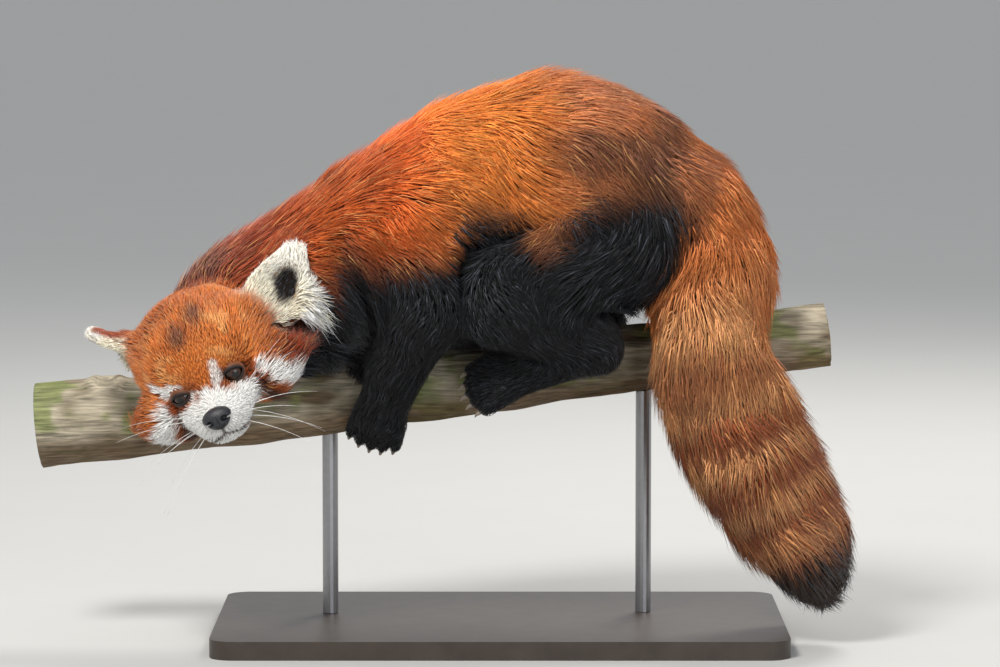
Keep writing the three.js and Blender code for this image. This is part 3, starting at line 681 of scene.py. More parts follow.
def new_object(name, vertices, polygons):
    """An object from vertices and a list of polygon arrays, each of one polygon size."""
    mesh = bpy.data.meshes.new(name)
    mesh.vertices.add(len(vertices))
    mesh.vertices.foreach_set("co", np.asarray(vertices, np.float32).ravel())
    corners = np.concatenate([p.ravel() for p in polygons])
    totals = np.concatenate([np.full(len(p), p.shape[1]) for p in polygons])
    mesh.loops.add(len(corners))
    mesh.loops.foreach_set("vertex_index", corners.astype(np.int32))
    mesh.polygons.add(len(totals))
    mesh.polygons.foreach_set("loop_start", (np.cumsum(totals) - totals).astype(np.int32))
    mesh.polygons.foreach_set("use_smooth", np.full(len(totals), True))
    mesh.update(calc_edges=True)
    made = bpy.data.objects.new(name, mesh)
    bpy.context.scene.collection.objects.link(made)
    return made


def ring_quads(rings, sides):
    """Quads between rings of points, each ring closed on itself."""
    i, j = np.divmod(np.arange((rings - 1) * sides), sides)
    after = (j + 1) % sides
    return np.stack([i * sides + j, i * sides + after, (i + 1) * sides + after, (i + 1) * sides + j], -1)


def set_colours(made, colours):
    attribute = made.data.color_attributes.new("coat", "FLOAT_COLOR", "POINT")
    rgba = np.concatenate([np.clip(colours, 0, 1), np.ones((len(colours), 1))], 1)
    attribute.data.foreach_set("color", rgba.astype(np.float32).ravel())


CORNERS = [(i, j, k) for i in (0, 1) for j in (0, 1) for k in (0, 1)]


def surface_nets(distance, low, top, cell):
    """Vertices and quads of the surface where distance is 0, on a grid of cells."""
    shape = np.ceil((top - low) / cell).astype(int) + 1
    axes = [low[k] + cell * np.arange(shape[k]) for k in range(3)]
    field = distance(axes, shape)
    inside = field < 0
    cells = [inside[i : shape[0] - 1 + i, j : shape[1] - 1 + j, k : shape[2] - 1 + k] for i, j, k in CORNERS]
    count = sum(c.astype(np.int8) for c in cells)
    active = (count > 0) & (count < 8)
    index = np.full(active.shape, -1)
    index[active] = np.arange(active.sum())
    at = np.argwhere(active)
    total = np.zeros((len(at), 3))
    hits = np.zeros(len(at))
    for corner in CORNERS:
        for axis in range(3):
            if corner[axis]:
                continue
            a = at + corner
            b = a.copy()
            b[:, axis] += 1
            va, vb = field[tuple(a.T)], field[tuple(b.T)]
            crosses = (va < 0) != (vb < 0)
            t = np.where(crosses, va / np.where(va == vb, 1, va - vb), 0)
            place = a.astype(float)
            place[:, axis] += t
            total[crosses] += place[crosses]
            hits[crosses] += 1
    vertices = low + cell * total / hits[:, None]
    quads = []
    for axis in range(3):
        others = [k for k in range(3) if k != axis]
        keep = [slice(1, -1)] * 3
        keep[axis] = slice(0, -1)
        start = inside[tuple(keep)]
        keep[axis] = slice(1, None)
        end = inside[tuple(keep)]
        edges = np.argwhere(start != end)
        leaves = start[tuple(edges.T)]
        edges[:, others] += 1
        ring = []
        for da, db in ((1, 1), (0, 1), (0, 0), (1, 0)):
            c = edges.copy()
            c[:, others[0]] -= da
            c[:, others[1]] -= db
            ring.append(index[tuple(c.T)])
        ring = np.stack(ring, -1)
        flip = leaves if axis != 1 else ~leaves
        ring[~flip] = ring[~flip][:, ::-1]
        quads.append(ring)
    return vertices, np.concatenate(quads)


def skin_grid(axes, shape):
    """The skin's field on a grid, each form taken only in its own box."""
    total = np.full(tuple(shape), 1e-26)
    for form in FORMS:
        spans = [np.searchsorted(axes[k], (form.low[k] - REACH, form.top[k] + REACH)) for k in range(3)]
        part = [axes[k][slice(*spans[k])] for k in range(3)]
        p = np.stack(np.meshgrid(*part, indexing="ij"), -1)
        d = np.concatenate([form.distance(row.reshape(-1, 3)) for row in p]).reshape(p.shape[:3])
        total[tuple(slice(*s) for s in spans)] += np.exp(-np.clip(d / BLEND, -60, 60))
    return -BLEND * np.log(total)


def largest_part(vertices, quads):
    """The quads and vertices of the largest connected surface."""
    label = np.arange(len(vertices))
    while True:
        lowest = label[quads].min(1)
        new = label.copy()
        for k in range(4):
            np.minimum.at(new, quads[:, k], lowest)
        new = new[new]
        if np.array_equal(new, label):
            break
        label = new
    kept = label == np.bincount(label).argmax()
    number = np.cumsum(kept) - 1
    return vertices[kept], number[quads[kept[quads[:, 0]]]]


low = np.min([f.low for f in FORMS], 0) - 5 * MM
top = np.max([f.top for f in FORMS], 0) + 5 * MM
vertices, quads = surface_nets(skin_grid, low, top, CELL)
vertices, quads = largest_part(vertices, quads)


def refine(vertices, quads, chosen):
    """Parts each chosen quad in four and its neighbours to fit."""
    bm = bmesh.new()
    mesh = bpy.data.meshes.new("rough")
    mesh.from_pydata(vertices.tolist(), [], quads.tolist())
    bm.from_mesh(mesh)
    bm.faces.ensure_lookup_table()
    edges = {e for i in np.flatnonzero(chosen) for e in bm.faces[i].edges}
    bmesh.ops.subdivide_edges(bm, edges=list(edges), cuts=1, use_grid_fill=True)
    bmesh.ops.triangulate(bm, faces=[f for f in bm.faces if len(f.verts) > 4])
    points = np.array([v.co for v in bm.verts])
    faces = [[v.index for v in f.verts] for f in bm.faces]
    bm.free()
    bpy.data.meshes.remove(mesh)
    return points, faces


middle = vertices[quads].mean(1)
chosen = HEAD.distance(middle) < 4 * MM
for form in FORMS:
    if isinstance(form, (EarForm, PawForm)):
        chosen |= form.distance(middle) < 3 * MM
vertices, faces = refine(vertices, quads, chosen)
triangles = np.array([f for f in faces if len(f) == 3]).reshape(-1, 3)
quads = np.array([f for f in faces if len(f) == 4])
for _ in range(3):
    d = skin_distance(vertices)
    normal = skin_normal(vertices)
    vertices = vertices - normal * np.clip(d, -1.5 * MM, 1.5 * MM)[:, None]
polygons = [quads, triangles]
skin = new_object("skin", vertices, polygons)


def weights_at(p, soft=8 * MM):
    """Each form's share at places p, as rows of form and weight."""
    rows, total = [], np.full(len(p), 1e-12)
    for form in FORMS:
        near = np.all((p > form.low - 20 * MM) & (p < form.top + 20 * MM), axis=1)
        if not near.any():
            continue
        d = np.full(len(p), 1.0)
        d[near] = form.distance(p[near])
        w = np.where(near, np.exp(-np.clip(d / soft, -12, 60)), 0)
        w[d > REACH] = 0
        rows.append((form, w))
        total += w
    return [(form, w / total) for form, w in rows]


def gathered(p, rows, value, width):
    """Weighted mean over the forms of value(form, places)."""
    out = np.zeros((len(p), width)) if width > 1 else np.zeros(len(p))
    for form, w in rows:
        use = w > 0.01
        if use.any():
            got = value(form, p[use], use)
            out[use] += got * (w[use][:, None] if width > 1 else w[use])
    return out


def gathered_trait(p, rows, trait):
    """Weighted mean over the forms of a trait that is one number for each."""
    return gathered(p, rows, lambda form, q, use: np.full(len(q), getattr(form, trait)), 1)


# The skin is darker than the coat over it
SKIN_SHADE = 0.55
skin_colours = gathered(vertices, weights_at(vertices), lambda form, p, use: form.colour(p), 3)
set_colours(skin, skin_colours * SKIN_SHADE)


# Coat roots, spread evenly over the skin's faces
def scatter(vertices, faces, density_at):
    """Random places on faces: place and normal."""
    a, b, c = (vertices[faces[:, k]] for k in (0, 1, 2))
    d = vertices[faces[:, 3]] if faces.shape[1] == 4 else c
    normal = np.cross(c - a, d - b) if faces.shape[1] == 4 else np.cross(b - a, c - a)
    area = np.linalg.norm(normal, axis=1) / 2
    wanted = density_at((a + b + c + d) / 4) * area / MM**2
    count = np.floor(wanted + rng.random(len(faces))).astype(int)
    pick = np.repeat(np.arange(len(faces)), count)
    u, v = rng.random(len(pick)), rng.random(len(pick))
    if faces.shape[1] == 3:
        over = u + v > 1
        u[over], v[over] = 1 - u[over], 1 - v[over]
        place = a[pick] + (b - a)[pick] * u[:, None] + (c - a)[pick] * v[:, None]
    else:
        near = a[pick] * (1 - u)[:, None] + b[pick] * u[:, None]
        far = d[pick] * (1 - u)[:, None] + c[pick] * u[:, None]
        place = near * (1 - v)[:, None] + far * v[:, None]
    return place, unit(normal)[pick]


def density_at(p):
    return gathered_trait(p, weights_at(p), "density")


SHARE = 1.0
found = [scatter(vertices, faces, lambda p: density_at(p) * SHARE) for faces in polygons if len(faces)]
roots = np.concatenate([f[0] for f in found])
normals = np.concatenate([f[1] for f in found])


def outside_fittings(p):
    """Keeps roots clear of the branch, the eyes and the nose."""
    clear = branch.distance(p) > 1 * MM
    q = in_head(p)
    for side in (1, -1):
        eye = q - np.array([EYE_AT[0] * side, EYE_AT[1], EYE_AT[2]])
        almond = np.linalg.norm((eye - [3 * side, 7, 0]) / [9.5, 10, 6.0], axis=1)
        clear &= almond > 1
    nose = np.linalg.norm((q - np.array(NOSE_AT)) / (np.array(NOSE_RADII) - 0.3), axis=1)
    return clear & (nose > 1)


kept = outside_fittings(roots)
roots, normals = roots[kept], normals[kept]
rows = weights_at(roots)
lie = gathered(roots, rows, lambda form, p, use: unit(form.lie(p, normals[use])), 3)
height, length, width = (
    gathered(roots, rows, lambda form, p, use, k=k: form.traits(p)[k], 1) for k in range(3)
)
pull = gathered_trait(roots, rows, "pull")
clump = gathered_trait(roots, rows, "clump")
main = np.stack([w for _, w in rows], -1).argmax(1)
if SHARE < 1:
    width = width * SHARE**-0.5

# The bend of a tuft: its share of the length, of the lift and of the pull to the clump
BEND_LENGTH = 0.42
BEND_LIFT = 0.72
BEND_PULL = 0.35
# Where along its length a tuft takes its colour, and how far its tip may miss its lift
COLOUR_AT = 0.55
STRAY = 3 * MM

# Lie of each tuft: turned a little by soft noise, then drawn towards its clump
swirl = (grain(roots, 24 * MM, 8) - 0.5) * 1.5 + rng.normal(0, 0.14, len(roots))
rise = (unit(lie) * normals).sum(1)
lie = unit(unit(lie) - normals * np.where(rise < 0.5, rise, 0.5)[:, None])
sideways = np.cross(normals, lie)
lie = lie * np.cos(swirl)[:, None] + sideways * np.sin(swirl)[:, None]
length = length * rng.uniform(0.75, 1.2, len(roots))
lift = height * rng.uniform(0.7, 1.05, len(roots)) * (0.72 + 0.56 * grain(roots, 20 * MM, 9))
size = clump[:, None]
centre = (np.floor(roots / size) + 0.5) * size
centre += (np.stack([grain(centre, 3 * MM, s) for s in (21, 22, 23)], -1) - 0.5) * size * 0.8
toward = centre - roots
toward -= normals * (toward * normals).sum(1)[:, None]
tip = roots + lie * length[:, None] + toward * pull[:, None]
middle = roots + lie * (BEND_LENGTH * length)[:, None] + toward * (BEND_PULL * pull)[:, None]
seen = roots + lie * (COLOUR_AT * length)[:, None]
free = tip.copy()
for _ in range(2):
    tip += normals * (lift - skin_distance(tip))[:, None] * 0.9
    middle += normals * (lift * BEND_LIFT - skin_distance(middle))[:, None] * 0.9
# Where the skin ends under a tuft, its tip is drawn in straight from where it lies
stray = np.flatnonzero(np.abs(lift - skin_distance(tip)) > STRAY)
for _ in range(4):
    gap = lift[stray] - skin_distance(free[stray])
    free[stray] += skin_normal(free[stray]) * np.clip(gap, -12 * MM, 12 * MM)[:, None]
tip[stray] = free[stray]
middle[stray] = (roots[stray] + tip[stray]) / 2 + normals[stray] * (0.2 * lift[stray])[:, None]
clear = branch.distance(tip) > -4 * MM
weights = [w**3 for _, w in rows]
owned = [(form, w / sum(weights)) for (form, _), w in zip(rows, weights)]
colours = gathered(seen, owned, lambda form, p, use: form.colour(p), 3)


# Colours of each tuft from root to tip
def jitter(n, low, high):
    return rng.uniform(low, high, n)[:, None]


n = len(roots)
paleness = ramp(colours.min(1), 0.2, 0.6)[:, None]
main_colour = colours * (1 + (1 - 0.75 * paleness) * jitter(n, -0.22, 0.22))
brightness = colours.max(1)
pale = (rng.random(n) < 0.12) & (brightness > 0.15) & (paleness[:, 0] < 0.3)
main_colour[pale] = main_colour[pale] * 0.6 + 0.4 * GOLD
# Painted sheen: a share of the black tufts is painted bluish grey for the sheen of light on the black fur
sheen_tufts = (rng.random(n) < 0.17) & (brightness < 0.06)
main_colour[sheen_tufts] = SHEEN_GREY * jitter(sheen_tufts.sum(), 0.5, 1.2)
root_colour = colours * (0.4 + 0.5 * paleness)
tip_colour = main_colour * jitter(n, 1.0, 1.4)


def noisy_material(name, sockets, scale, detail, bump, depth):
    """A material with noise over the piece's own place, in its relief too: material, noise and colour."""
    material = bpy.data.materials.new(name)
    material.use_nodes = True
    nodes, links = material.node_tree.nodes, material.node_tree.links
    shader = nodes["Principled BSDF"]
    for socket, value in sockets.items():
        shader.inputs[socket].default_value = value
    place = nodes.new("ShaderNodeTexCoord")
    noise = nodes.new("ShaderNodeTexNoise")
    noise.inputs["Scale"].default_value = scale
    noise.inputs["Detail"].default_value = detail
    links.new(place.outputs["Object"], noise.inputs["Vector"])
    tint = nodes.new("ShaderNodeMix")
    tint.data_type = "RGBA"
    links.new(tint.outputs[2], shader.inputs["Base Color"])
    if bump:
        relief = nodes.new("ShaderNodeBump")
        relief.inputs["Strength"].default_value = bump
        relief.inputs["Distance"].default_value = depth
        links.new(noise.outputs["Fac"], relief.inputs["Height"])
        links.new(relief.outputs["Normal"], shader.inputs["Normal"])
    return material, noise, tint


def coat_material(name, rough, sheen, specular, scale=420, detail=3, bump=0.25, depth=0.0006):
    """A material in the piece's own colours, which fine noise varies: material, noise and its range."""
    sockets = {"Roughness": rough, "Specular IOR Level": specular}
    sockets.update({"Sheen Weight": sheen, "Sheen Roughness": 0.5})
    material, noise, tint = noisy_material(name, sockets, scale, detail, bump, depth)
    nodes, links = material.node_tree.nodes, material.node_tree.links
    colour = nodes.new("ShaderNodeVertexColor")
    colour.layer_name = "coat"
    spread = nodes.new("ShaderNodeMapRange")
    spread.inputs["To Min"].default_value = 0.72
    spread.inputs["To Max"].default_value = 1.28
    links.new(noise.outputs["Fac"], spread.inputs["Value"])
    tint.blend_type = "MULTIPLY"
    tint.inputs["Factor"].default_value = 1.0
    links.new(colour.outputs["Color"], tint.inputs[6])
    links.new(spread.outputs["Result"], tint.inputs[7])
    return material, noise, spread


PIECES = {
    "torso": ("rust_fur", 0.7, 0.1, 0.16),
    "neck": ("chestnut_fur", 0.7, 0.1, 0.16),
    "head": ("rust_fur", 0.75, 0.1, 0.12),
    "ears": ("cream_fur", 0.75, 0.1, 0.12),
    "tail": ("ringed_fur", 0.7, 0.1, 0.16),
    "foreleg": ("black_fur", 0.55, 0.03, 0.35),
    "hindleg": ("black_fur", 0.55, 0.03, 0.35),
}
MATERIALS = {name: coat_material("coat_" + name, *row[1:])[0] for name, row in PIECES.items()}
skin_material, _, _ = coat_material("skin_under_coat", 0.8, 0.0, 0.2)
skin.data.materials.append(skin_material)
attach(skin, "root")
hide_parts(*FLESH)

PATCH = 0.003
TUFTS_EACH = 18500


def tuft_piece(name, kind, pick, chart):
    """One coat piece: a closed blade of three sides for each picked root, on its own patch of the map."""
    r, m, t = roots[pick] - normals[pick] * 1.2 * MM, middle[pick], tip[pick]
    count = len(pick)
    axis = unit(t - r)
    side = unit(np.cross(axis, normals[pick]))
    flat = np.cross(side, axis)
    half = width[pick][:, None] / 2
    turn = rng.uniform(0, 2 * math.pi, count)
    points = np.empty((count, 7, 3))
    shades = np.empty((count, 7, 3))
    for k in range(3):
        angle = turn + k * 2 * math.pi / 3
        spoke = side * np.cos(angle)[:, None] + flat * np.sin(angle)[:, None] * 0.6
        points[:, k] = r + spoke * half * 0.9
        points[:, 3 + k] = m + spoke * half
        shades[:, k] = root_colour[pick]
        shades[:, 3 + k] = main_colour[pick]
    points[:, 6] = t
    shades[:, 6] = tip_colour[pick]
    base = np.arange(count)[:, None] * 7
    caps = base + np.array([2, 1, 0])
    quads = np.concatenate([base + np.array([k, (k + 1) % 3, 3 + (k + 1) % 3, 3 + k]) for k in range(3)])
    ends = np.concatenate([base + np.array([3 + k, 3 + (k + 1) % 3, 6]) for k in range(3)])
    made = new_object(name, points.reshape(-1, 3), [caps, quads, ends])
    set_colours(made, shades.reshape(-1, 3))
    corner = chart[pick] * (1 - 2 * PATCH) + 0.5 * PATCH
    third = PATCH / 3
    uv = [np.stack([corner + [0, 0], corner + [third, 0.3 * third], corner + [0, 0.6 * third]], 1)]
    for k in range(3):
        box = [(k, 0), (k + 1, 0), (k + 1, 1.5), (k, 1.5)]
        uv.append(np.stack([corner + np.array(q) * third for q in box], 1))
    for k in range(3):
        box = [(k, 1.5), (k + 1, 1.5), (k + 0.5, 3)]
        uv.append(np.stack([corner + np.array(q) * third for q in box], 1))
    layer = made.data.uv_layers.new(name="OFBake")
    layer.data.foreach_set("uv", np.concatenate([u.reshape(-1, 2) for u in uv]).astype(np.float32).ravel())
    made.data.materials.append(MATERIALS[kind])
    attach(made, "root")


charts = np.zeros((len(roots), 2))
kinds = np.empty(len(roots), object)
for i, (form, w) in enumerate(rows):
    own = main == i
    if own.any():
        charts[own] = np.clip(form.chart(roots[own]), 0, 1)
        kinds[own] = form.piece
for kind in PIECES:
    own = np.flatnonzero((kinds == kind) & clear)
    own = own[np.argsort(roots[own, 0], kind="stable")]
    for number, pick in enumerate(np.array_split(own, max(1, math.ceil(len(own) / TUFTS_EACH)))):
        if len(pick):
            tuft_piece(f"coat_{kind}_{number + 1}", kind, pick, charts)


# Bodies of turned or swept sections
def tube(points, radii, sides):
    """A closed tube along points with a radius at each."""
    points, radii = np.asarray(points, float), np.asarray(radii, float)
    tangent = unit(np.gradient(points, axis=0))
    side = unit(np.cross(tangent, [0.31, 0.92, 0.23]))
    other = np.cross(tangent, side)
    turns = np.arange(sides) * 2 * math.pi / sides
    rings = points[:, None] + radii[:, None, None] * (
        side[:, None] * np.cos(turns)[None, :, None] + other[:, None] * np.sin(turns)[None, :, None]
    )
    count = len(points)
    flat = rings.reshape(-1, 3)
    ends = np.array([np.arange(sides)[::-1], (count - 1) * sides + np.arange(sides)])
    return flat, ring_quads(count, sides), ends


def joined_tubes(name, specs, sides, material):
    """One object of many tubes, each of points and radii."""
    vertices, quads, ends, start = [], [], [], 0
    for points, radii in specs:
        v, q, e = tube(points, radii, sides)
        vertices.append(v)
        quads.append(q + start)
        ends.append(e + start)
        start += len(v)
    made = new_object(name, np.concatenate(vertices), [np.concatenate(quads), np.concatenate(ends)])
    made.data.materials.append(material)
    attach(made, "root")


def plain_material(name, colour, rough, specular=0.5, scale=900, vary=0.25, bump=0.1, metal=0.0):
    """A material whose colour and relief vary with fine noise."""
    sockets = {"Roughness": rough, "Specular IOR Level": specular, "Metallic": metal}
    material, noise, tint = noisy_material(name, sockets, scale, 4, bump, 0.001)
    tint.inputs[6].default_value = (*(np.array(colour) * (1 - vary)), 1)
    tint.inputs[7].default_value = (*np.clip(np.array(colour) * (1 + vary), 0, 1), 1)
    material.node_tree.links.new(noise.outputs["Fac"], tint.inputs["Factor"])
    return material


# Eyes
def ball(at, radii, axes, rings=24, sides=32):
    """Vertices and faces of an ellipsoid whose pole faces along its second axis."""
    bend = np.linspace(0, math.pi, rings + 1)[1:-1]
    turn = np.arange(sides) * 2 * math.pi / sides
    b, t = np.meshgrid(bend, turn, indexing="ij")
    local = np.stack([np.sin(b) * np.cos(t), np.cos(b), np.sin(b) * np.sin(t)], -1).reshape(-1, 3)
    local = np.concatenate([local, [[0, 1, 0], [0, -1, 0]]])
    points = at + (local * radii) @ axes
    count = len(bend)
    j = np.arange(sides)
    after, end = (j + 1) % sides, (count - 1) * sides
    first = np.stack([np.full(sides, count * sides), after, j], -1)
    last = np.stack([np.full(sides, count * sides + 1), end + j, end + after], -1)
    return points, ring_quads(count, sides), np.concatenate([first, last]), local


EYE_MATERIAL, _, _ = coat_material("eye_glass", 0.1, 0.0, 0.3, bump=0)
glass = EYE_MATERIAL.node_tree.nodes["Principled BSDF"]
glass.inputs["Coat Weight"].default_value = 0.4
glass.inputs["Coat Roughness"].default_value = 0.02
LID_MATERIAL, _, _ = coat_material("lid_skin", 0.6, 0.05, 0.3)
LID_SIDES = 64
LID_STEPS = 7
# The way each opening faces: its outward share
FACING = {"left": 0.13, "right": 0.34}
# Each eye's half opening in degrees: sideways, up and down
OPENING = {"left": (54, 25, 30), "right": (48, 15, 19)}


def lid_piece(word, side, at):
    """The two lids as one closed shell round the eye, open in an almond."""
    turned = FACING[word]
    facing = unit(np.array([turned * side, 0.95, -0.06]))
    outward = unit(np.array([0.95 * side, -turned, 0.0]))
    up = unit(np.cross(outward, facing) * side)
    wide, above, below = np.radians(OPENING[word])
    turn = np.linspace(0, 2 * math.pi, LID_SIDES + 1)[:-1]
    rings = []
    for layer, thick in ((0, 0.62), (1, 1.5)):
        steps = np.linspace(0, 1, LID_STEPS)
        for step in steps if layer else steps[::-1]:
            sharp = 1 - 0.35 * np.abs(np.cos(turn)) ** 3
            x = np.cos(turn) * (wide + (1.3 - wide) * step)
            high = np.where(np.sin(turn) > 0, above, below)
            y = np.sin(turn) * (high * sharp * (1 - step) + 1.3 * step)
            away = np.hypot(x, y)
            slant = np.sin(away) / np.maximum(away, 1e-6)
            way = facing * np.cos(away)[:, None] + (outward * x[:, None] + up * y[:, None]) * slant[:, None]
            lip = thick - (0.3 if layer and step == 0 else 0)
            rings.append(head_point(at + way * (EYE_RADIUS + lip)))
    quads = ring_quads(len(rings) + 1, LID_SIDES) % (len(rings) * LID_SIDES)
    if side < 0:
        quads = quads[:, ::-1]
    made = new_object(f"lids_{word}", np.concatenate(rings), [quads])
    steps = np.linspace(0, 1, LID_STEPS)
    step = np.repeat(np.concatenate([steps[::-1], steps]), LID_SIDES)
    shade = mix(rgb(0.012, 0.008, 0.007), rgb(0.16, 0.05, 0.018), ramp(step, 0.12, 0.5))
    set_colours(made, shade)
    made.data.materials.append(LID_MATERIAL)
    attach(made, "root")


for word, side in (("left", 1), ("right", -1)):
    at = np.array([EYE_AT[0] * side, EYE_AT[1], EYE_AT[2]])
    gaze = unit(np.array([0.3 * side, 0.95, -0.16]))
    left = unit(np.cross(gaze, [0, 0, 1]))
    axes = np.array([left, gaze, np.cross(left, gaze)]) @ HEAD_AXES
    points, squares, fans, local = ball(head_point(at), np.full(3, EYE_RADIUS * MM), axes)
    bulge = ramp(local[:, 1], 0.72, 0.95)
    points = points + (axes[1] * 0.5 * MM) * bulge[:, None]
    eye = new_object("eyeball_" + word, points, [squares, fans])
    away = np.arccos(np.clip(local[:, 1], -1, 1))
    iris = mix(rgb(0.008, 0.003, 0.002), rgb(0.035, 0.012, 0.005), ramp(away, 0.75, 0.4))
    shade = mix(rgb(0.0006, 0.0006, 0.0006), iris, ramp(away, 0.3, 0.4))
    shade = mix(shade, rgb(0.006, 0.004, 0.003), ramp(away, 0.7, 0.85))
    set_colours(eye, shade)
    eye.data.materials.append(EYE_MATERIAL)
    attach(eye, "root")
    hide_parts("eye_" + word)
    lid_piece(word, side, at)


# Nose pad with its nostrils and the groove between them
def nose_grid(axes, shape):
    p = np.stack(np.meshgrid(*axes, indexing="ij"), -1).reshape(-1, 3)
    q = in_head(p) - np.array(NOSE_AT)
    l, f, u = np.abs(q[:, 0]), q[:, 1], q[:, 2]
    pad = ellipsoid_distance(q - [0, -1, 0.8], np.array([11.2, 8.2, 7.0]))
    lower = ellipsoid_distance(q - [0, -1.5, -4], np.array([6.5, 8, 4.5]))
    d = smooth_union([pad, lower], 1.6)
    hole = ellipsoid_distance(np.stack([l - 5.6, f - 6.5, u + 1.2], -1), np.array([2.6, 5.0, 1.9]))
    slit = ellipsoid_distance(np.stack([l - 9.0, f - 3.2, u + 2.4], -1), np.array([3.4, 5.0, 0.9]))
    groove = ellipsoid_distance(np.stack([l, f - 8.2, u + 4.5], -1), np.array([0.7, 2.2, 5.5]))
    for cut in (hole, slit, groove):
        d = -smooth_union([-d, cut], 0.5)
    return (d * MM).reshape(tuple(shape))


spread = np.array([16, 14, 14]) * MM
nose_at = head_point(NOSE_AT)
nose_points, nose_quads = surface_nets(nose_grid, nose_at - spread, nose_at + spread, 0.5 * MM)
nose_points, nose_quads = largest_part(nose_points, nose_quads)
nose = new_object("nose_pad", nose_points, [nose_quads])
leather = plain_material("nose_leather", (0.013, 0.014, 0.018), 0.38, scale=1500, bump=0.35)
nose.data.materials.append(leather)
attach(nose, "root")
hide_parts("nose")

# Claws
claws = []
for form in FORMS:
    if not isinstance(form, PawForm):
        continue
    for toe in form.tips:
        start = toe + form.forward * PAW_HALF * 0.1 * MM
        bend = start + form.forward * CLAW_REACH * 0.7 * MM
        end = bend + form.sole * CLAW * 0.6 * MM + form.forward * 1.5 * MM
        steps = np.linspace(0, 1, 9)[:, None]
        points = start * (1 - steps) ** 2 + 2 * bend * steps * (1 - steps) + end * steps**2
        claws.append((points, np.interp(steps.ravel(), [0, 0.4, 1], [2.1, 1.6, 0.15]) * MM))
joined_tubes("claws", claws, 10, plain_material("claw_horn", (0.3, 0.25, 0.2), 0.35))

# Whiskers
whiskers = []
for side in (1, -1):
    for row in range(3):
        for i in range(3):
            f, u = 52 - 7 * i + rng.uniform(-1, 1), -22 - 5 * row + rng.uniform(-1, 1)
            root = head_point((side * (13 + 3.2 * i), f, u))
            rise = 0.55 - 0.6 * row + rng.uniform(-0.2, 0.2)
            way = unit(np.array([side, -0.2 - 0.15 * i, rise])) @ HEAD_AXES
            long = rng.uniform(44, 72) * MM
            steps = np.linspace(0, 1, 9)[:, None]
            points = root + way * steps * long + np.array([0, 0, -0.2 * long]) * steps**2
            whiskers.append((points, np.interp(steps.ravel(), [0, 1], [0.24, 0.07]) * MM))
joined_tubes("whiskers", whiskers, 5, plain_material("whisker", (0.85, 0.84, 0.8), 0.4))


# Branch: bark with ridges, knots and growth of moss, cut square at its ends
# Knots: place along X in metres, angle round the branch in radians and size in mm
KNOTS = [(-0.3, 4.4, 13), (-0.215, 5.3, 9), (0.2, 1.2, 10), (0.19, 4.6, 8), (-0.02, 5.9, 8)]


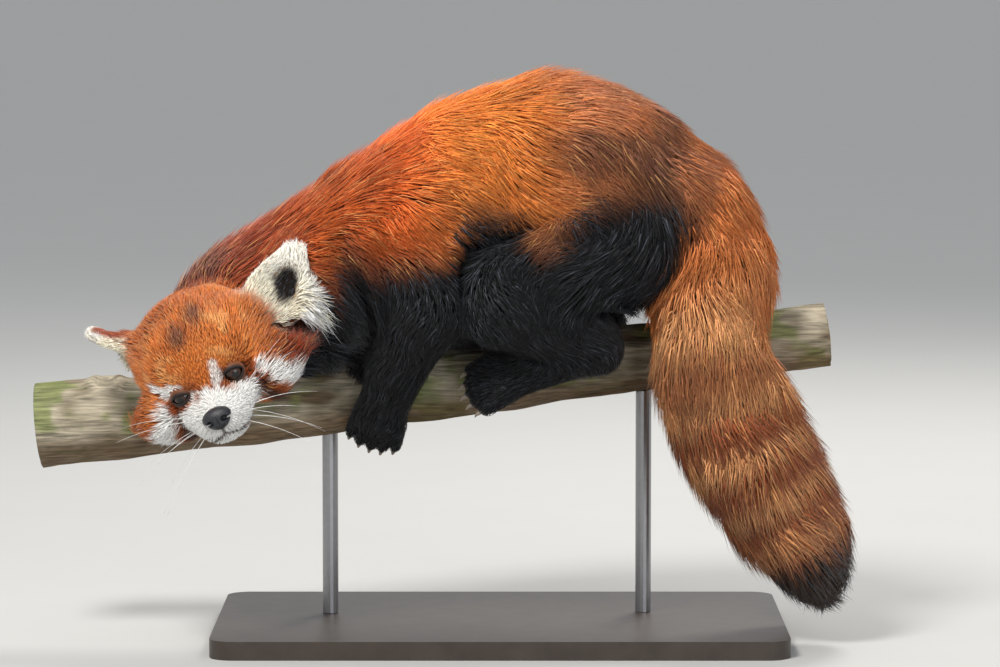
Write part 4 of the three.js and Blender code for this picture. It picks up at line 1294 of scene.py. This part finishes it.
def branch_piece():
    along, around = 420, 168
    rings = 6
    share = np.linspace(0, 1, along)
    place = share * branch.count
    i = np.minimum(place.astype(int), branch.count - 1)
    w = (place - i)[:, None]
    centre = branch.centre[i] * (1 - w) + branch.centre[i + 1] * w
    across = unit(branch.across[i] * (1 - w) + branch.across[i + 1] * w)
    upward = unit(branch.upward[i] * (1 - w) + branch.upward[i + 1] * w)
    radius = np.interp(place, range(branch.count + 1), branch.wide)
    turn = np.arange(around) * 2 * math.pi / around
    way = across[:, None] * np.cos(turn)[None, :, None] + upward[:, None] * np.sin(turn)[None, :, None]
    surface = centre[:, None] + way * radius[:, None, None]
    flat = surface.reshape(-1, 3)
    x = flat[:, 0]
    twist = np.tile(turn, along) + x * 2.2
    ridge = np.stack([x * 0.16, np.cos(twist) * 0.03, np.sin(twist) * 0.03], -1)
    rough = (grain(ridge, 3.2 * MM, 31) - 0.5) * 1.5 + (grain(ridge, 7 * MM, 32) - 0.5) * 2.4
    lumps = (grain(flat, 45 * MM, 33) - 0.5) * 5
    knots = np.zeros(len(flat))
    for at, angle, size in KNOTS:
        spin = (np.tile(turn, along) - angle + math.pi) % (2 * math.pi) - math.pi
        away = np.hypot((x - at) / MM, spin * 28) / size
        knots += 3.2 * np.exp(-((away - 0.8) ** 2) * 6) - 2.5 * np.exp(-(away**2) * 3)
    push = np.clip(rough + lumps + knots, -5, 4) * MM
    surface = surface + way * push.reshape(along, around)[:, :, None]
    layers = [surface.reshape(-1, 3)]
    count = along * around
    quads, fans = [ring_quads(along, around)], []
    for way_out, row in ((-1, 0), (1, along - 1)):
        ring = np.arange(around) + row * around
        heart = surface[row].mean(0)
        out = way_out * np.array([0.7 * MM, 0, 0])
        for r in range(1, rings):
            layers.append(heart + (surface[row] - heart) * (1 - (r / rings) ** 0.8) + out * min(r, 2))
            new = count + np.arange(around)
            a, b = (ring, new) if way_out > 0 else (new, ring)
            quads.append(np.stack([a, np.roll(a, -1), np.roll(b, -1), b], -1))
            ring, count = new, count + around
        layers.append((heart + 2 * out)[None])
        fans.append(np.stack([ring, np.roll(ring, -1), np.full(around, count)], -1)[:, ::way_out])
        count += 1
    points = np.concatenate(layers)
    made = new_object("perch_bark", points, [np.concatenate(quads), np.concatenate(fans)])
    p = points
    bark = mix(rgb(0.2, 0.17, 0.115), rgb(0.42, 0.37, 0.28), grain(p, 12 * MM, 41))
    bark = mix(bark, rgb(0.12, 0.085, 0.05), ramp(grain(p * [0.3, 1, 1], 9 * MM, 42), 0.55, 0.85))
    moss = ramp(grain(p, 40 * MM, 43) + 0.5 * (grain(p, 9 * MM, 44) - 0.5), 0.45, 0.7)
    bark = mix(bark, rgb(0.16, 0.19, 0.06), moss * 0.8)
    under = ramp(p[:, 2] - np.interp(p[:, 0], branch.centre[:, 0], branch.centre[:, 2]), -4 * MM, -20 * MM)
    bark = mix(bark, rgb(0.17, 0.1, 0.05), under * 0.7)
    # Painted shade in the furrows of the bark and painted light on its ridges, by the depth of the relief
    deep = np.concatenate([push / MM, np.zeros(len(points) - len(push))])
    bark = bark * (0.75 + 0.35 * ramp(deep, -3, 1.5))[:, None]
    cut = np.arange(len(points)) >= along * around
    rings_seen = grain(points[cut] * [0, 1, 1], 2 * MM, 45)
    bark[cut] = mix(rgb(0.36, 0.24, 0.12), rgb(0.5, 0.37, 0.2), rings_seen)
    set_colours(made, bark)
    return made


def bark_material():
    """Weathered bark whose grain runs along the branch."""
    material, noise, spread = coat_material("weathered_bark", 0.85, 0.0, 0.25, 420, 9, 0.85, 0.002)
    noise.inputs["Distortion"].default_value = 0.35
    values = {"From Min": 0.3, "From Max": 0.7, "To Min": 0.5, "To Max": 1.4}
    for socket, value in values.items():
        spread.inputs[socket].default_value = value
    nodes, links = material.node_tree.nodes, material.node_tree.links
    stretch = nodes.new("ShaderNodeMapping")
    stretch.inputs["Scale"].default_value = (0.1, 1.0, 1.0)
    stretch.inputs["Rotation"].default_value = (0, math.radians(6.5), 0)
    links.new(noise.inputs["Vector"].links[0].from_socket, stretch.inputs["Vector"])
    links.new(stretch.outputs["Vector"], noise.inputs["Vector"])
    return material


perch = branch_piece()
perch.data.materials.append(bark_material())
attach(perch, "root")
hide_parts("perch")

# Stand
wood = plain_material("stand_wood_dark", (0.045, 0.034, 0.027), 0.42, 0.4, 60, 0.4, 0.08)
steel = plain_material("stand_steel", (0.32, 0.32, 0.33), 0.34, 0.5, 200, 0.12, 0.03, metal=1.0)
for name, material in (("stand_base", wood), ("stand_rod_1", steel), ("stand_rod_2", steel)):
    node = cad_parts[name]
    node.data.materials.clear()
    node.data.materials.append(material)

# Floor, wide enough to fill the view
FLOOR_HALF = 60.0
lines = np.array([-FLOOR_HALF, -4.0, 0.0, 4.0, FLOOR_HALF])
sheet = np.array([(x, y, 0.0) for y in lines for x in lines])
corner = (np.arange(4)[:, None] * 5 + np.arange(4)).ravel()
floor = new_object("studio_floor", sheet, [np.stack([corner, corner + 1, corner + 6, corner + 5], -1)])
floor.data.materials.append(plain_material("studio_paper", (0.47, 0.47, 0.46), 0.9, 0.2, 8, 0.02, 0.0))

# Soft studio light
world = bpy.data.worlds.new("studio")
bpy.context.scene.world = world
world.use_nodes = True
world.node_tree.nodes["Background"].inputs["Color"].default_value = (0.95, 0.97, 1.0, 1)
world.node_tree.nodes["Background"].inputs["Strength"].default_value = 0.7


def area_light(name, place, size, power, colour=(1, 1, 1), target=(0, 0, 0.26)):
    data = bpy.data.lights.new(name, "AREA")
    data.shape = "DISK"
    data.size = size
    data.energy = power
    data.color = colour
    made = bpy.data.objects.new(name, data)
    made.location = place
    made.rotation_euler = (Vector(target) - Vector(place)).to_track_quat("-Z", "Y").to_euler()
    bpy.context.scene.collection.objects.link(made)


area_light("key", (-0.9, -1.5, 2.2), 0.8, 62, (1.0, 0.97, 0.92))
area_light("back", (0.7, 1.5, 1.9), 0.8, 36, (1.0, 0.96, 0.9))
area_light("fill", (1.2, -2.4, 0.9), 1.6, 18, (0.93, 0.96, 1.0))

# Camera at the photograph's viewing angle, with its lens in mm
CAMERA_AT = Vector((0, -3.1878, 0.5095))
CAMERA_TARGET = Vector((0, 0, 0.23062))
CAMERA_LENS = 151.58
SENSOR_WIDTH = 36
camera_data = bpy.data.cameras.new("camera")
camera_data.lens = CAMERA_LENS
camera_data.sensor_width = SENSOR_WIDTH
camera = bpy.data.objects.new("camera", camera_data)
camera.location = CAMERA_AT
camera.rotation_euler = (CAMERA_TARGET - CAMERA_AT).to_track_quat("-Z", "Y").to_euler()
bpy.context.scene.collection.objects.link(camera)
bpy.context.scene.camera = camera
bpy.context.scene.view_settings.view_transform = "Standard"
